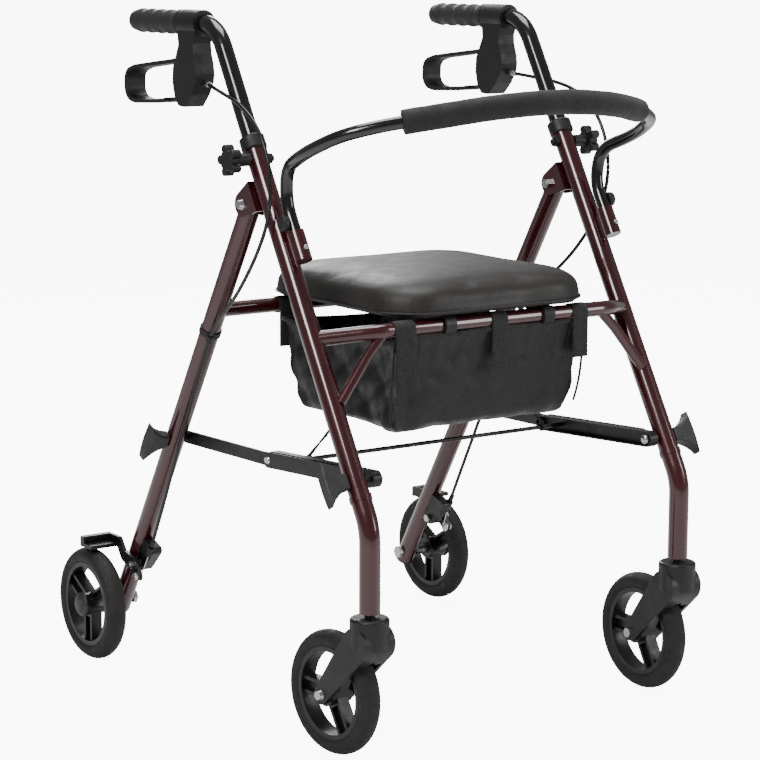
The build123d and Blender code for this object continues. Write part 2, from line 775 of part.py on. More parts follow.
def brake_bolts():
    """Pivot bolts of the brake arms, with their nuts."""
    with BuildPart() as bolts:
        for side, sign in SIDES.items():
            x, y, z = brake_pivot(side)
            with BuildSketch(across(x - sign * 12, y, z, side)):
                Circle(3)
            extrude(amount=38)
            with BuildSketch(across(x - sign * 12.5, y, z, side)):
                RegularPolygon(5.5, 6)
            extrude(amount=5)
            with BuildSketch(across(x + sign * 20.6, y, z, side)):
                RegularPolygon(5.5, 6)
            extrude(amount=4.5)
    return bolts


SHOE_CLEAR = 3.0


def brake_arm(side):
    """Flat bar from the pivot up over the tyre, with a lateral shoe and a short cable horn."""
    sign = SIDES[side]
    x, y, z = brake_pivot(side)
    shoe_z = 2 * WHEEL_R + SHOE_CLEAR
    with BuildPart() as arm:
        with BuildSketch(across(sign * BRAKE_X, 0, 0, "left")):
            with BuildLine():
                Polyline(
                    (y + 4, z - 9), (y + 30, z + 1), (258, shoe_z), (278, shoe_z),
                    (278, shoe_z + 14), (252, shoe_z + 14), (y + 24, z + 15), (y - 4, z + 9), close=True,
                )
            make_face()
            with Locations((y, z)):
                Circle(10)
            with Locations((y - 10, z - 14)):
                Circle(6)
        extrude(amount=sign * 5)
        with BuildSketch(side_view(sign * BRAKE_X)):
            Polygon((y - 9, z + 4), (y - 16, z - 13), (y - 5, z - 18), (y + 8, z - 6), align=None)
        extrude(amount=sign * 5)
        with BuildSketch(side_view(sign * BRAKE_X)):
            Polygon((258, shoe_z), (288, shoe_z), (288, shoe_z + 5), (258, shoe_z + 5), align=None)
        extrude(amount=sign * (REAR_WHEEL_X + 12 - BRAKE_X))
        with BuildSketch(side_view(sign * BRAKE_X)):
            with Locations((283, shoe_z + 9)):
                Rectangle(10, 10)
        extrude(amount=sign * (REAR_WHEEL_X + 12 - BRAKE_X))
        with BuildSketch(across(sign * (BRAKE_X - 5), y, z, "left")):
            Circle(3.1)
        extrude(amount=sign * 20, mode=Mode.SUBTRACT)
    return arm


# ---------------------------------------------------------------- folding brace
LINK_FRONT_X = (208.0, 220.4)  # depth of the front channel, inner and outer face
LINK_REAR_X = (221.3, 224.1)
COVER_X = (224.9, 226.4)  # the channel's outer cheek, which covers the rear link's end
COVER_LENGTH = 186.0
BRACE_ROD_FROM_KNEE = 31.0
ROD_R = 2.8


def link_outline(start, end, width):
    """Side outline of a straight link with round ends."""
    for point in (start, end):
        with Locations(point):
            Circle(width / 2)
    make_hull()


def brace_rod_centre():
    """Y, Z of the cross rod that joins the two front links."""
    run = Vector(*on_main("left", BRACE_FRONT_S)[1:]) - Vector(*KNEE)
    rod = Vector(*KNEE) + run.normalized() * BRACE_ROD_FROM_KNEE
    return rod.X, rod.Y


def brace_front_links():
    """Pressed channels with an outer cheek, main tubes to knee, joined by a thin cross rod."""
    start = on_main("left", BRACE_FRONT_S)[1:]
    along = (Vector(*start) - Vector(*KNEE)).normalized()
    cover_end = Vector(*KNEE) + along * COVER_LENGTH
    block_end = Vector(*KNEE) + along * (COVER_LENGTH - 90)
    with BuildPart() as links:
        for sign in SIDES.values():
            with BuildSketch(side_view(sign * LINK_FRONT_X[0])):
                link_outline(start, KNEE, 20)
            extrude(amount=sign * (LINK_FRONT_X[1] - LINK_FRONT_X[0]))
            with BuildSketch(side_view(sign * (LINK_FRONT_X[0] - 1))):
                link_outline(start, KNEE, 16.6)
            extrude(amount=sign * (LINK_FRONT_X[1] - LINK_FRONT_X[0] - 1), mode=Mode.SUBTRACT)
            with BuildSketch(side_view(sign * COVER_X[0])):
                link_outline(tuple(cover_end)[:2], KNEE, 20)
            extrude(amount=sign * (COVER_X[1] - COVER_X[0]))
            with BuildSketch(side_view(sign * (LINK_FRONT_X[1] - 0.5))):
                link_outline(tuple(cover_end)[:2], tuple(block_end)[:2], 17)
            extrude(amount=sign * (COVER_X[0] - LINK_FRONT_X[1] + 1))
            with BuildSketch(side_view(sign * COVER_X[0])):
                with Locations(KNEE):
                    Circle(3.0)
            extrude(amount=sign * 5, mode=Mode.SUBTRACT)
        with BuildSketch(side_view(-LINK_FRONT_X[1] + 1)):
            with Locations(brace_rod_centre()):
                Circle(ROD_R)
        extrude(amount=2 * LINK_FRONT_X[1] - 2)
        with BuildSketch(side_view(-SIDE_X)):
            with Locations(start):
                Circle(WING_BOLT_R + GAP)
        extrude(amount=2 * SIDE_X, mode=Mode.SUBTRACT)
    return links


def brace_rear_links():
    """Flat bars from the rear legs to the knee."""
    start = on_leg("left", BRACE_REAR_D)[1:]
    with BuildPart() as links:
        for sign in SIDES.values():
            with BuildSketch(side_view(sign * LINK_REAR_X[0])):
                link_outline(start, KNEE, 17)
            extrude(amount=sign * (LINK_REAR_X[1] - LINK_REAR_X[0]))
        for point, radius in ((start, WING_BOLT_R + GAP), (KNEE, 3.0)):
            with BuildSketch(side_view(-SIDE_X)):
                with Locations(point):
                    Circle(radius)
            extrude(amount=2 * SIDE_X, mode=Mode.SUBTRACT)
    return links


def knee_rivets():
    """Domed rivets at the knees, set in the channels' outer cheeks."""
    with BuildPart() as rivets:
        for side, sign in SIDES.items():
            with BuildSketch(across(sign * COVER_X[0], *KNEE, side)):
                Circle(2.95)
            extrude(amount=COVER_X[1] - COVER_X[0] + 0.5)
            with BuildSketch(across(sign * (COVER_X[1] + 0.05), *KNEE, side)):
                Circle(5.2)
            extrude(amount=2.4, taper=35)
    return rivets


WING_T = 8.0  # half thickness
WING_X = (SIDE_X + TUBE_R + 0.6, SIDE_X + 46.0)


def wing_knob(side, centre, along, inner_x):
    """A T-shaped wing knob: hub at the tube, flared outer edge, bolt through to the brace."""
    sign = SIDES[side]
    x, y, z = centre
    normal = Vector(1, 0, 0).cross(Vector(*along))
    plane = Plane(origin=(0, y, z), x_dir=(1, 0, 0), z_dir=normal)
    inner, outer = (sign * value for value in WING_X)
    waist = sign * (SIDE_X + 22)
    with BuildPart() as knob:
        with BuildSketch(plane):
            with BuildLine():
                Line((inner, -9), (inner, 9))
                ThreePointArc((inner, 9), (waist + sign * 3, 12), (outer - sign * 2, 28))
                ThreePointArc((outer - sign * 2, 28), (outer, 0), (outer - sign * 2, -28))
                ThreePointArc((outer - sign * 2, -28), (waist + sign * 3, -12), (inner, -9))
            make_face()
        extrude(amount=WING_T, both=True)
        chamfer(knob.faces().filter_by(Plane(origin=(0, 0, 0), z_dir=normal)).edges(), 2)
        with BuildSketch(across(sign * inner_x, y, z, side)):
            Circle(WING_BOLT_R)
        extrude(amount=WING_X[0] - inner_x + 6)
        with BuildSketch(across(sign * (inner_x + 1), y, z, side)):
            RegularPolygon(5.5, 6)
        extrude(amount=4)
    return knob


# ---------------------------------------------------------------- seat
BOARD_T = 7.0
BOARD_INSET = 12.0
CLIP_X = (-76.0, 76.0)
CLIP_WIDTH = 16.0


def seat_plan(inset, radius):
    middle = (0, (SEAT_Y[0] + SEAT_Y[1]) / 2)
    with Locations(middle):
        RectangleRounded(2 * (SEAT_HALF_X - inset), SEAT_Y[1] - SEAT_Y[0] - 2 * inset, radius)


def seat_base():
    """Board under the cushion, with two hinge clips hooked round the crossbar."""
    y, z = FRONT_BAR
    underside = SEAT_Z[0]
    with BuildPart() as board:
        for x in CLIP_X:
            plane = side_view(x - CLIP_WIDTH / 2)
            with BuildSketch(plane):
                with Locations((y, z)):
                    Circle(BAR_R + 4)
                Polygon(
                    (y, z + 2), (y, underside), (y + 34, underside),
                    (y + 34, underside - 4), (y + 13, z + 2), align=None,
                )
            extrude(amount=CLIP_WIDTH)
            with BuildSketch(plane.offset(-1)):
                Polygon(
                    (y - 30, underside), (y + 50, underside),
                    (y + 50, underside + 20), (y - 30, underside + 20), align=None,
                )
            extrude(amount=CLIP_WIDTH + 2, mode=Mode.SUBTRACT)
        with BuildSketch(Plane.XY.offset(underside)):
            seat_plan(BOARD_INSET, 34)
        extrude(amount=BOARD_T)
        with BuildSketch(side_view(-SEAT_HALF_X)):
            with Locations((y, z)):
                Circle(BAR_R + GAP)
        extrude(amount=2 * SEAT_HALF_X, mode=Mode.SUBTRACT)
    return board


def seat_cushion():
    """Padded cover wrapped over the board's edges."""
    with BuildPart() as pad:
        with BuildSketch(Plane.XY.offset(SEAT_Z[0] + 1)):
            seat_plan(0, 46)
        extrude(amount=SEAT_Z[1] - SEAT_Z[0] - 1)
        fillet(pad.faces().sort_by(Axis.Z)[-1].edges(), 16)
        with BuildSketch(Plane.XY.offset(SEAT_Z[0])):
            seat_plan(BOARD_INSET - 0.3, 34.3)
        extrude(amount=BOARD_T + 0.3, mode=Mode.SUBTRACT)
    return pad


# ---------------------------------------------------------------- bag
BAG_WALL = 3.0
STRAP_X = (-142.0, 0.0, 127.0)
STRAP_WIDTH = 24.0
STRAP_T = 0.9


def bag():
    """Open-topped fabric bag hung by straps looped over both crossbars."""
    middle = ((BAG_X[0] + BAG_X[1]) / 2, (BAG_Y[0] + BAG_Y[1]) / 2)
    size = (BAG_X[1] - BAG_X[0], BAG_Y[1] - BAG_Y[0])
    with BuildPart() as sack:
        with BuildSketch(Plane.XY.offset(BAG_Z[0])):
            with Locations(middle):
                RectangleRounded(*size, 16)
        extrude(amount=BAG_Z[1] - BAG_Z[0])
        fillet(sack.faces().sort_by(Axis.Z)[0].edges(), 8)
        with BuildSketch(Plane.XY.offset(BAG_Z[0] + BAG_WALL)):
            with Locations(middle):
                RectangleRounded(size[0] - 2 * BAG_WALL, size[1] - 2 * BAG_WALL, 13)
        extrude(amount=BAG_Z[1] - BAG_Z[0], mode=Mode.SUBTRACT)
    return sack


def strap_loop(bar, x, panel_y, top):
    """One strap: a flat ring round a bar with a tail down the bag's panel."""
    y, z = bar
    inner = BAR_R + 0.25
    with BuildSketch(side_view(x - STRAP_WIDTH / 2)) as outline:
        with Locations((y, z)):
            Circle(inner + STRAP_T)
        low, high = sorted((panel_y, panel_y + (STRAP_T if panel_y > y else -STRAP_T)))
        Polygon((low, top - 30), (high, top - 30), (high, z - 4), (low, z - 4), align=None)
        with Locations((y, z)):
            Circle(inner, mode=Mode.SUBTRACT)
    extrude(outline.sketch, amount=STRAP_WIDTH)


TIE_R = 1.3
TIE_X = (136.0, 184.0)  # at the bag's bottom and at the brace's cross rod


def pull_tie(sign):
    """A cord from the bag's bottom corner to a loop round the brace's cross rod."""
    y, z = brace_rod_centre()
    start = (sign * TIE_X[0], y, BAG_Z[0] - 1.6)
    run = Vector(sign * TIE_X[1], y, z + ROD_R + 1.6) - Vector(*start)
    with BuildSketch(Plane(origin=start, z_dir=run)) as strand:
        Circle(TIE_R)
    extrude(strand.sketch, amount=run.length)
    with BuildSketch(side_view(sign * TIE_X[1] - 2.5)) as loop:
        with Locations((y, z)):
            Circle(ROD_R + 2.8)
            Circle(ROD_R + GAP, mode=Mode.SUBTRACT)
    extrude(loop.sketch, amount=5)


def bag_straps():
    """Webbing loops that hang the bag, three in front and two behind, and its two pull ties."""
    with BuildPart() as straps:
        for sign in SIDES.values():
            pull_tie(sign)
        for x in STRAP_X:
            strap_loop(FRONT_BAR, x, BAG_Y[0] - 0.2, BAG_Z[1])
        for x in (STRAP_X[0], STRAP_X[2]):
            strap_loop(REAR_BAR, x, REAR_BAR[0] - BAR_R - 0.25, BAG_Z[1])
    return straps


# ---------------------------------------------------------------- brake cables
CABLE_OUT = 22.0  # how far outside the frame plane the free loop stands


def cable_route(side):
    """Housing to ferrule: forward past the handle tube, a loop in front, down along the rear leg."""
    sign = SIDES[side]
    end = on_leg(side, BRAKE_D - 40.6, ANCHOR_FORE, 8)
    before = on_leg(side, BRAKE_D - 80, ANCHOR_FORE - 2.4, 8)
    return [
        (sign * SIDE_X, 45.0, 786.1),
        (sign * (SIDE_X + 9), 12, 782),
        (sign * (SIDE_X + 19), -27, 777),
        (sign * (SIDE_X + CABLE_OUT), -68, 767),
        (sign * (SIDE_X + CABLE_OUT), -104, 744),
        (sign * (SIDE_X + CABLE_OUT), -127, 709),
        (sign * (SIDE_X + CABLE_OUT), -134, 668),
        (sign * (SIDE_X + CABLE_OUT), -125, 628),
        (sign * (SIDE_X + 21), -100, 589),
        (sign * (SIDE_X + 19), -66, 551),
        (sign * (SIDE_X + 15), -30, 520),
        on_leg(side, CLIP_D - 22, CLIP_FORE, CLIP_OUT),
        on_leg(side, CLIP_D + 22, CLIP_FORE, CLIP_OUT),
        on_leg(side, CLIP_D + 80, CLIP_FORE + 2.6, CLIP_OUT - 0.4),
        on_leg(side, CLIP_D + 140, CLIP_FORE + 5.9, CLIP_OUT - 1.1),
        on_leg(side, CLIP_D + 200, CLIP_FORE + 9.6, CLIP_OUT - 1.2),
        on_leg(side, CLIP_D + 250, CLIP_FORE + 12.8, CLIP_OUT - 1.9),
        before,
        end,
    ]


CLIP_D = 196.0
CLIP_FORE = 16.0
CLIP_OUT = 10.0
UPPER_POINTS = 7  # the upper length ends halfway along the run after this many points


def cable_lengths(side):
    """The upper and lower lengths of one cable, split in the middle of a straight run."""
    route = cable_route(side)
    radii = bend_radii(route, 1e4)
    here, after = Vector(*route[UPPER_POINTS - 1]), Vector(*route[UPPER_POINTS])
    split = tuple((here + after) / 2)
    upper = (route[:UPPER_POINTS] + [split], radii[: UPPER_POINTS - 1])
    lower = ([split] + route[UPPER_POINTS:], radii[UPPER_POINTS - 1 :])
    return upper, lower


def cable(points, radii):
    """A length of cable housing along straight runs joined by tangent arcs."""
    with BuildPart() as tube:
        with BuildLine() as centre:
            FilletPolyline(*points, radius=radii)
        with BuildSketch(Plane(origin=points[0], z_dir=Vector(*points[1]) - Vector(*points[0]))):
            Circle(CABLE_R)
        sweep(path=centre.wires()[0])
    share = tube.part.volume / (CABLE_R**2 * pi * centre.wires()[0].length)
    print("cable radii", [round(r) for r in radii])
    print("length", round(centre.wires()[0].length), "volume share", round(share, 4))
    return tube


def cable_clips():
    """Plastic bands round the rear legs that hold the brake cables."""
    with BuildPart() as clips:
        for side in SIDES:
            band = Plane(origin=on_leg(side, CLIP_D - 4), z_dir=DOWN)
            eye = Plane(origin=on_leg(side, CLIP_D - 4, CLIP_FORE, CLIP_OUT), z_dir=DOWN)
            with BuildSketch(band):
                Circle(TUBE_R + 1.6)
            extrude(amount=8)
            with BuildSketch(eye):
                Circle(CABLE_R + 1.7)
            extrude(amount=8)
            with BuildSketch(band.offset(-1)):
                Circle(TUBE_R + 0.05)
            extrude(amount=10, mode=Mode.SUBTRACT)
            with BuildSketch(eye.offset(-3)):
                Circle(CABLE_R + 0.3)
            extrude(amount=14, mode=Mode.SUBTRACT)
    return clips


# ---------------------------------------------------------------- build everything
save(lower_legs(), "lower_legs")
save(front_crossbar(), "front_crossbar")
save(pivot_brackets(), "pivot_brackets")
save(pivot_bolts(), "pivot_bolts")
save(backrest_sockets(), "backrest_sockets")
save(tube_collars(), "tube_collars")
save(backrest_tube(), "backrest_tube")
save(backrest_foam(), "backrest_foam")
save(backrest_stop_knobs(), "backrest_stop_knobs")
save(leg_plugs(), "leg_plugs")
save(rear_crossbar(), "rear_crossbar")
save(rear_axles(), "rear_axles")
save(brake_brackets(), "brake_brackets")
save(brake_bolts(), "brake_bolts")
save(cable_clips(), "cable_clips")
save(brace_front_links(), "brace_front_links")
save(brace_rear_links(), "brace_rear_links")
save(knee_rivets(), "knee_rivets")
save(seat_base(), "seat_base")
save(seat_cushion(), "seat_cushion")
save(bag(), "bag")
save(bag_straps(), "bag_straps")

for side, sign in SIDES.items():
    save(main_tube(side), f"main_tube_{side}")
    save(snap_button(side), f"snap_button_{side}")
    save(handle_tube(side), f"handle_tube_{side}")
    save(grip(side), f"grip_{side}")
    save(brake_housing(side), f"brake_housing_{side}")
    save(brake_lever(side), f"brake_lever_{side}")
    save(star_knob(side), f"star_knob_{side}")
    save(rear_leg(side), f"rear_leg_{side}")
    save(brake_arm(side), f"brake_arm_{side}")
    save(wing_knob(side, on_main(side, BRACE_FRONT_S), UP, LINK_FRONT_X[0] + 3), f"wing_knob_front_{side}")
    save(wing_knob(side, on_leg(side, BRACE_REAR_D), DOWN, LINK_REAR_X[0] - 6), f"wing_knob_rear_{side}")
    save(fork(side), f"fork_{side}")
    save(front_axle(side), f"front_axle_{side}")

    caster_wheel = caster_wheel_plane(side)
    rear_wheel = wheel_plane((sign * REAR_WHEEL_X, *REAR_AXLE), (sign, 0, 0))
    save(tyre(caster_wheel), f"front_tyre_{side}")
    spoke = 90 - sign * 90
    save(rim(caster_wheel, 16, FORK_AXLE_R + GAP, spoke_turn=spoke), f"front_rim_{side}")
    save(tyre(rear_wheel), f"rear_tyre_{side}")
    save(rim(rear_wheel, 15, AXLE_R + GAP, cap=5, spoke_turn=-90), f"rear_rim_{side}")

    upper, lower = cable_lengths(side)
    save(cable(*upper), f"brake_cable_upper_{side}")
    save(cable(*lower), f"brake_cable_lower_{side}")
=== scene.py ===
"""Looks for a folding rollator walker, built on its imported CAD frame.  Metres, +Z up, -Y the front."""

from math import cos, pi, radians, sin

import bmesh
import bpy
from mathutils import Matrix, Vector, noise


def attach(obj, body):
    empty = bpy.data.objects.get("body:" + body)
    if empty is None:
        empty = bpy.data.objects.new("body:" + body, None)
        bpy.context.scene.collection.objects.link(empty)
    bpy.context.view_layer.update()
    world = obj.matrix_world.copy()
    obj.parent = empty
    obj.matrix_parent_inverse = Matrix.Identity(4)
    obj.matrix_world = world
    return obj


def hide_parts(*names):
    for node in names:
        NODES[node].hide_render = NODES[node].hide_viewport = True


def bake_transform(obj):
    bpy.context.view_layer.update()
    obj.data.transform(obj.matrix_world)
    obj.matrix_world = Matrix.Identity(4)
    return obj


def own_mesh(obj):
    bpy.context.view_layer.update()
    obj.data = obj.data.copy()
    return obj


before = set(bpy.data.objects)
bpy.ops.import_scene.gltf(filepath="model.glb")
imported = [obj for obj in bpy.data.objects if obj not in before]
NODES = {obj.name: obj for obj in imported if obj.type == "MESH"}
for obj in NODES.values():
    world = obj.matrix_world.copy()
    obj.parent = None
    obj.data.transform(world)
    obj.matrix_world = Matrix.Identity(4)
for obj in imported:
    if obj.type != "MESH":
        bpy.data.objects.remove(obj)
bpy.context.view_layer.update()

SIDES = {"right": -1, "left": 1}
SIDE_X = 0.240

# ------------------------------------------------------------------ camera
camera = bpy.data.objects.new("camera", bpy.data.cameras.new("camera"))
bpy.context.collection.objects.link(camera)
camera.location = (-1.8728, -2.6310, 0.9627)
camera.rotation_euler = Vector((0.5527, 0.8140, -0.1790)).to_track_quat("-Z", "Y").to_euler()
camera.data.sensor_width = 36.0
camera.data.lens = 118.6
camera.data.shift_x = 0.0655
camera.data.shift_y = 0.0199
bpy.context.scene.camera = camera


# ------------------------------------------------------------------ materials
def node(tree, kind, **values):
    made = tree.nodes.new(kind)
    for key, value in values.items():
        setattr(made, key, value)
    return made


def coords(tree, scale=(1, 1, 1)):
    """Object coordinates, which are the part's own metres, stretched by scale."""
    where = node(tree, "ShaderNodeTexCoord")
    mapping = node(tree, "ShaderNodeMapping")
    mapping.inputs["Scale"].default_value = scale
    tree.links.new(where.outputs["Object"], mapping.inputs["Vector"])
    return mapping.outputs["Vector"]


def speckle(tree, scale, detail=4.0, rough=0.6, stretch=(1, 1, 1)):
    tex = node(tree, "ShaderNodeTexNoise")
    tex.inputs["Scale"].default_value = scale
    tex.inputs["Detail"].default_value = detail
    tex.inputs["Roughness"].default_value = rough
    tree.links.new(coords(tree, stretch), tex.inputs["Vector"])
    return tex.outputs["Fac"]


def ramp(tree, fac, low, high, start=0.35, end=0.65):
    """fac between start and end mapped to numbers or colours between low and high."""
    if isinstance(low, (int, float)):
        span = node(tree, "ShaderNodeMapRange")
        for key, value in (("From Min", start), ("From Max", end), ("To Min", low), ("To Max", high)):
            span.inputs[key].default_value = value
        tree.links.new(fac, span.inputs["Value"])
        return span.outputs["Result"]
    blend = node(tree, "ShaderNodeValToRGB")
    blend.color_ramp.elements[0].position = start
    blend.color_ramp.elements[0].color = (*low, 1)
    blend.color_ramp.elements[1].position = end
    blend.color_ramp.elements[1].color = (*high, 1)
    tree.links.new(fac, blend.inputs["Fac"])
    return blend.outputs["Color"]


def bump(tree, shader, heights):
    """heights: (socket, distance in metres, strength), laid over each other."""
    normal = None
    for socket, distance, strength in heights:
        bumped = node(tree, "ShaderNodeBump")
        bumped.inputs["Distance"].default_value = distance
        bumped.inputs["Strength"].default_value = strength
        tree.links.new(socket, bumped.inputs["Height"])
        if normal:
            tree.links.new(normal, bumped.inputs["Normal"])
        normal = bumped.outputs["Normal"]
    tree.links.new(normal, shader.inputs["Normal"])


def wave(tree, scale, axis, distortion=0.0, uv=False):
    """Parallel ridges, scale of them a metre, across one axis."""
    tex = node(tree, "ShaderNodeTexWave", bands_direction=axis, wave_profile="SIN")
    tex.inputs["Scale"].default_value = scale
    tex.inputs["Distortion"].default_value = distortion
    if uv:
        where = node(tree, "ShaderNodeTexCoord")
        tree.links.new(where.outputs["UV"], tex.inputs["Vector"])
    else:
        tree.links.new(coords(tree), tex.inputs["Vector"])
    return tex.outputs["Fac"]


def combine(tree, operation, a, b):
    maths = node(tree, "ShaderNodeMath", operation=operation)
    tree.links.new(a, maths.inputs[0])
    tree.links.new(b, maths.inputs[1])
    return maths.outputs["Value"]


def material(name, dark, light, rough, metallic=0.0, patch=18.0, coat=0.0, coat_rough=0.05, spec=0.5):
    """A principled material with patchy colour and roughness.  Returns it, its tree and its shader."""
    made = bpy.data.materials.new(name)
    made.use_nodes = True
    tree = made.node_tree
    shader = tree.nodes["Principled BSDF"]
    patches = speckle(tree, patch, 5.0)
    tree.links.new(ramp(tree, patches, dark, light), shader.inputs["Base Color"])
    tree.links.new(ramp(tree, speckle(tree, patch * 3, 3.0), rough[0], rough[1]), shader.inputs["Roughness"])
    shader.inputs["Metallic"].default_value = metallic
    shader.inputs["Coat Weight"].default_value = coat
    shader.inputs["Coat Roughness"].default_value = coat_rough
    shader.inputs["Specular IOR Level"].default_value = spec
    return made, tree, shader


def plain_bump(name, *args, grain=900.0, depth=0.00008, strength=0.5, **more):
    made, tree, shader = material(name, *args, **more)
    bump(tree, shader, [(speckle(tree, grain, 3.0, 0.7), depth, strength)])
    return made


def make_paint():
    """Burgundy metallic lacquer: fine flake under a clear coat with slight orange peel."""
    made, tree, shader = material(
        "burgundy_lacquer", (0.042, 0.0022, 0.0052), (0.056, 0.0034, 0.0076), (0.24, 0.31),
        metallic=0.25, patch=9, coat=1.0, coat_rough=0.04,
    )
    flakes = speckle(tree, 5200, 2.0, 0.8)
    peel = speckle(tree, 240, 2.0, 0.5)
    bump(tree, shader, [(flakes, 0.00003, 0.12), (peel, 0.00005, 0.10)])
    return made


def make_vinyl():
    """Soft black vinyl with a pebbled grain and a faint sheen."""
    made, tree, shader = material(
        "seat_vinyl", (0.0185, 0.0170, 0.0155), (0.0255, 0.0235, 0.0215), (0.44, 0.54), patch=14, spec=0.45,
    )
    cells = node(tree, "ShaderNodeTexVoronoi", feature="SMOOTH_F1")
    cells.inputs["Scale"].default_value = 620
    tree.links.new(coords(tree), cells.inputs["Vector"])
    soft = speckle(tree, 26, 3.0, 0.5)
    bump(tree, shader, [(cells.outputs["Distance"], 0.00025, 0.35), (soft, 0.0012, 0.16)])
    return made


def make_nylon():
    """Coated nylon cloth: fine plain weave, slight shine, small rumples."""
    made, tree, shader = material(
        "bag_nylon", (0.0048, 0.0046, 0.0044), (0.0080, 0.0076, 0.0072), (0.36, 0.48), patch=22, spec=0.42,
    )
    shader.inputs["Sheen Weight"].default_value = 0.04
    shader.inputs["Sheen Roughness"].default_value = 0.4
    weave = combine(tree, "ADD", wave(tree, 380, "X"), wave(tree, 380, "Z"))
    weave = combine(tree, "ADD", weave, wave(tree, 380, "Y"))
    rumple = speckle(tree, 34, 4.0, 0.55)
    bump(tree, shader, [(rumple, 0.004, 0.35), (weave, 0.00012, 0.35)])
    return made


def make_webbing():
    """Woven strap: diagonal ribs across and fine picks along, laid by UV."""
    made, tree, shader = material(
        "black_webbing", (0.0055, 0.0055, 0.0055), (0.010, 0.010, 0.010), (0.62, 0.8), patch=60,
    )
    shader.inputs["Sheen Weight"].default_value = 0.08
    ribs = wave(tree, 150, "DIAGONAL", uv=True)
    picks = wave(tree, 420, "Y", uv=True)
    bump(tree, shader, [(ribs, 0.0005, 0.6), (picks, 0.0002, 0.4)])
    return made


def make_foam():
    """Closed-cell foam: soft, dull, finely pitted."""
    made, tree, shader = material(
        "black_foam", (0.014, 0.0135, 0.0130), (0.021, 0.020, 0.0190), (0.62, 0.78), patch=30, spec=0.3,
    )
    shader.inputs["Sheen Weight"].default_value = 0.12
    shader.inputs["Sheen Roughness"].default_value = 0.5
    pits = node(tree, "ShaderNodeTexVoronoi", feature="F1")
    pits.inputs["Scale"].default_value = 900
    tree.links.new(coords(tree), pits.inputs["Vector"])
    bump(tree, shader, [(speckle(tree, 60, 3.0), 0.0006, 0.25), (pits.outputs["Distance"], 0.0002, 0.4)])
    return made


def make_steel(name, tone, rough):
    """Zinc-plated steel with fine turning marks."""
    made, tree, shader = material(
        name, tuple(0.82 * c for c in tone), tone, rough, metallic=1.0, patch=180,
    )
    bump(tree, shader, [(speckle(tree, 1600, 2.0, 0.7, (1, 1, 6)), 0.00003, 0.3)])
    return made


PAINT = make_paint()
VINYL = make_vinyl()
NYLON = make_nylon()
WEBBING = make_webbing()
FOAM = make_foam()
ZINC = make_steel("zinc_plate", (0.62, 0.62, 0.63), (0.24, 0.36))
BRIGHT = make_steel("bright_rivet", (0.78, 0.78, 0.78), (0.14, 0.22))
GLOSS_TUBE = plain_bump(
    "black_gloss_enamel", (0.0026, 0.0026, 0.0028), (0.0042, 0.0042, 0.0045), (0.16, 0.23),
    coat=0.7, coat_rough=0.06, grain=260.0, depth=0.00004, strength=0.12,
)
STEEL_BLACK = plain_bump(
    "black_powder_coat", (0.0030, 0.0030, 0.0030), (0.0055, 0.0055, 0.0055), (0.34, 0.44),
    grain=1500.0, depth=0.00006,
)
PLASTIC = plain_bump(
    "black_moulded_plastic", (0.0060, 0.0060, 0.0062), (0.0095, 0.0095, 0.0098), (0.44, 0.58),
    grain=1700.0, depth=0.00012, strength=0.6,
)
FORK_PLASTIC = plain_bump(
    "black_fork_plastic", (0.0055, 0.0055, 0.0058), (0.0090, 0.0090, 0.0094), (0.40, 0.52),
    grain=1300.0, depth=0.0001, strength=0.5,
)
RIM_PLASTIC = plain_bump(
    "black_rim_plastic", (0.0050, 0.0050, 0.0052), (0.0085, 0.0085, 0.0088), (0.32, 0.44),
    grain=1300.0, depth=0.00008, strength=0.4,
)
KNOB_GREY = plain_bump(
    "dark_grey_knob", (0.016, 0.016, 0.0168), (0.024, 0.024, 0.025), (0.46, 0.58),
    grain=1500.0, depth=0.00012, strength=0.6,
)
CAP_GREY = plain_bump(
    "grey_hub_cap", (0.020, 0.020, 0.0205), (0.030, 0.030, 0.0305), (0.42, 0.55), grain=1200.0, strength=0.4,
)
TYRE = plain_bump(
    "tyre_compound", (0.0130, 0.0125, 0.0120), (0.0200, 0.0190, 0.0180), (0.60, 0.76),
    patch=40.0, grain=1100.0, depth=0.0002, strength=0.6, spec=0.4,
)
GRIP_RUBBER = plain_bump(
    "grip_rubber", (0.0150, 0.0150, 0.0154), (0.0225, 0.0225, 0.0230), (0.52, 0.66),
    patch=60.0, grain=1200.0, depth=0.00016, strength=0.6,
)
CABLE_SKIN = plain_bump(
    "cable_housing", (0.0045, 0.0045, 0.0045), (0.0075, 0.0075, 0.0075), (0.26, 0.38),
    grain=900.0, depth=0.00005,
)

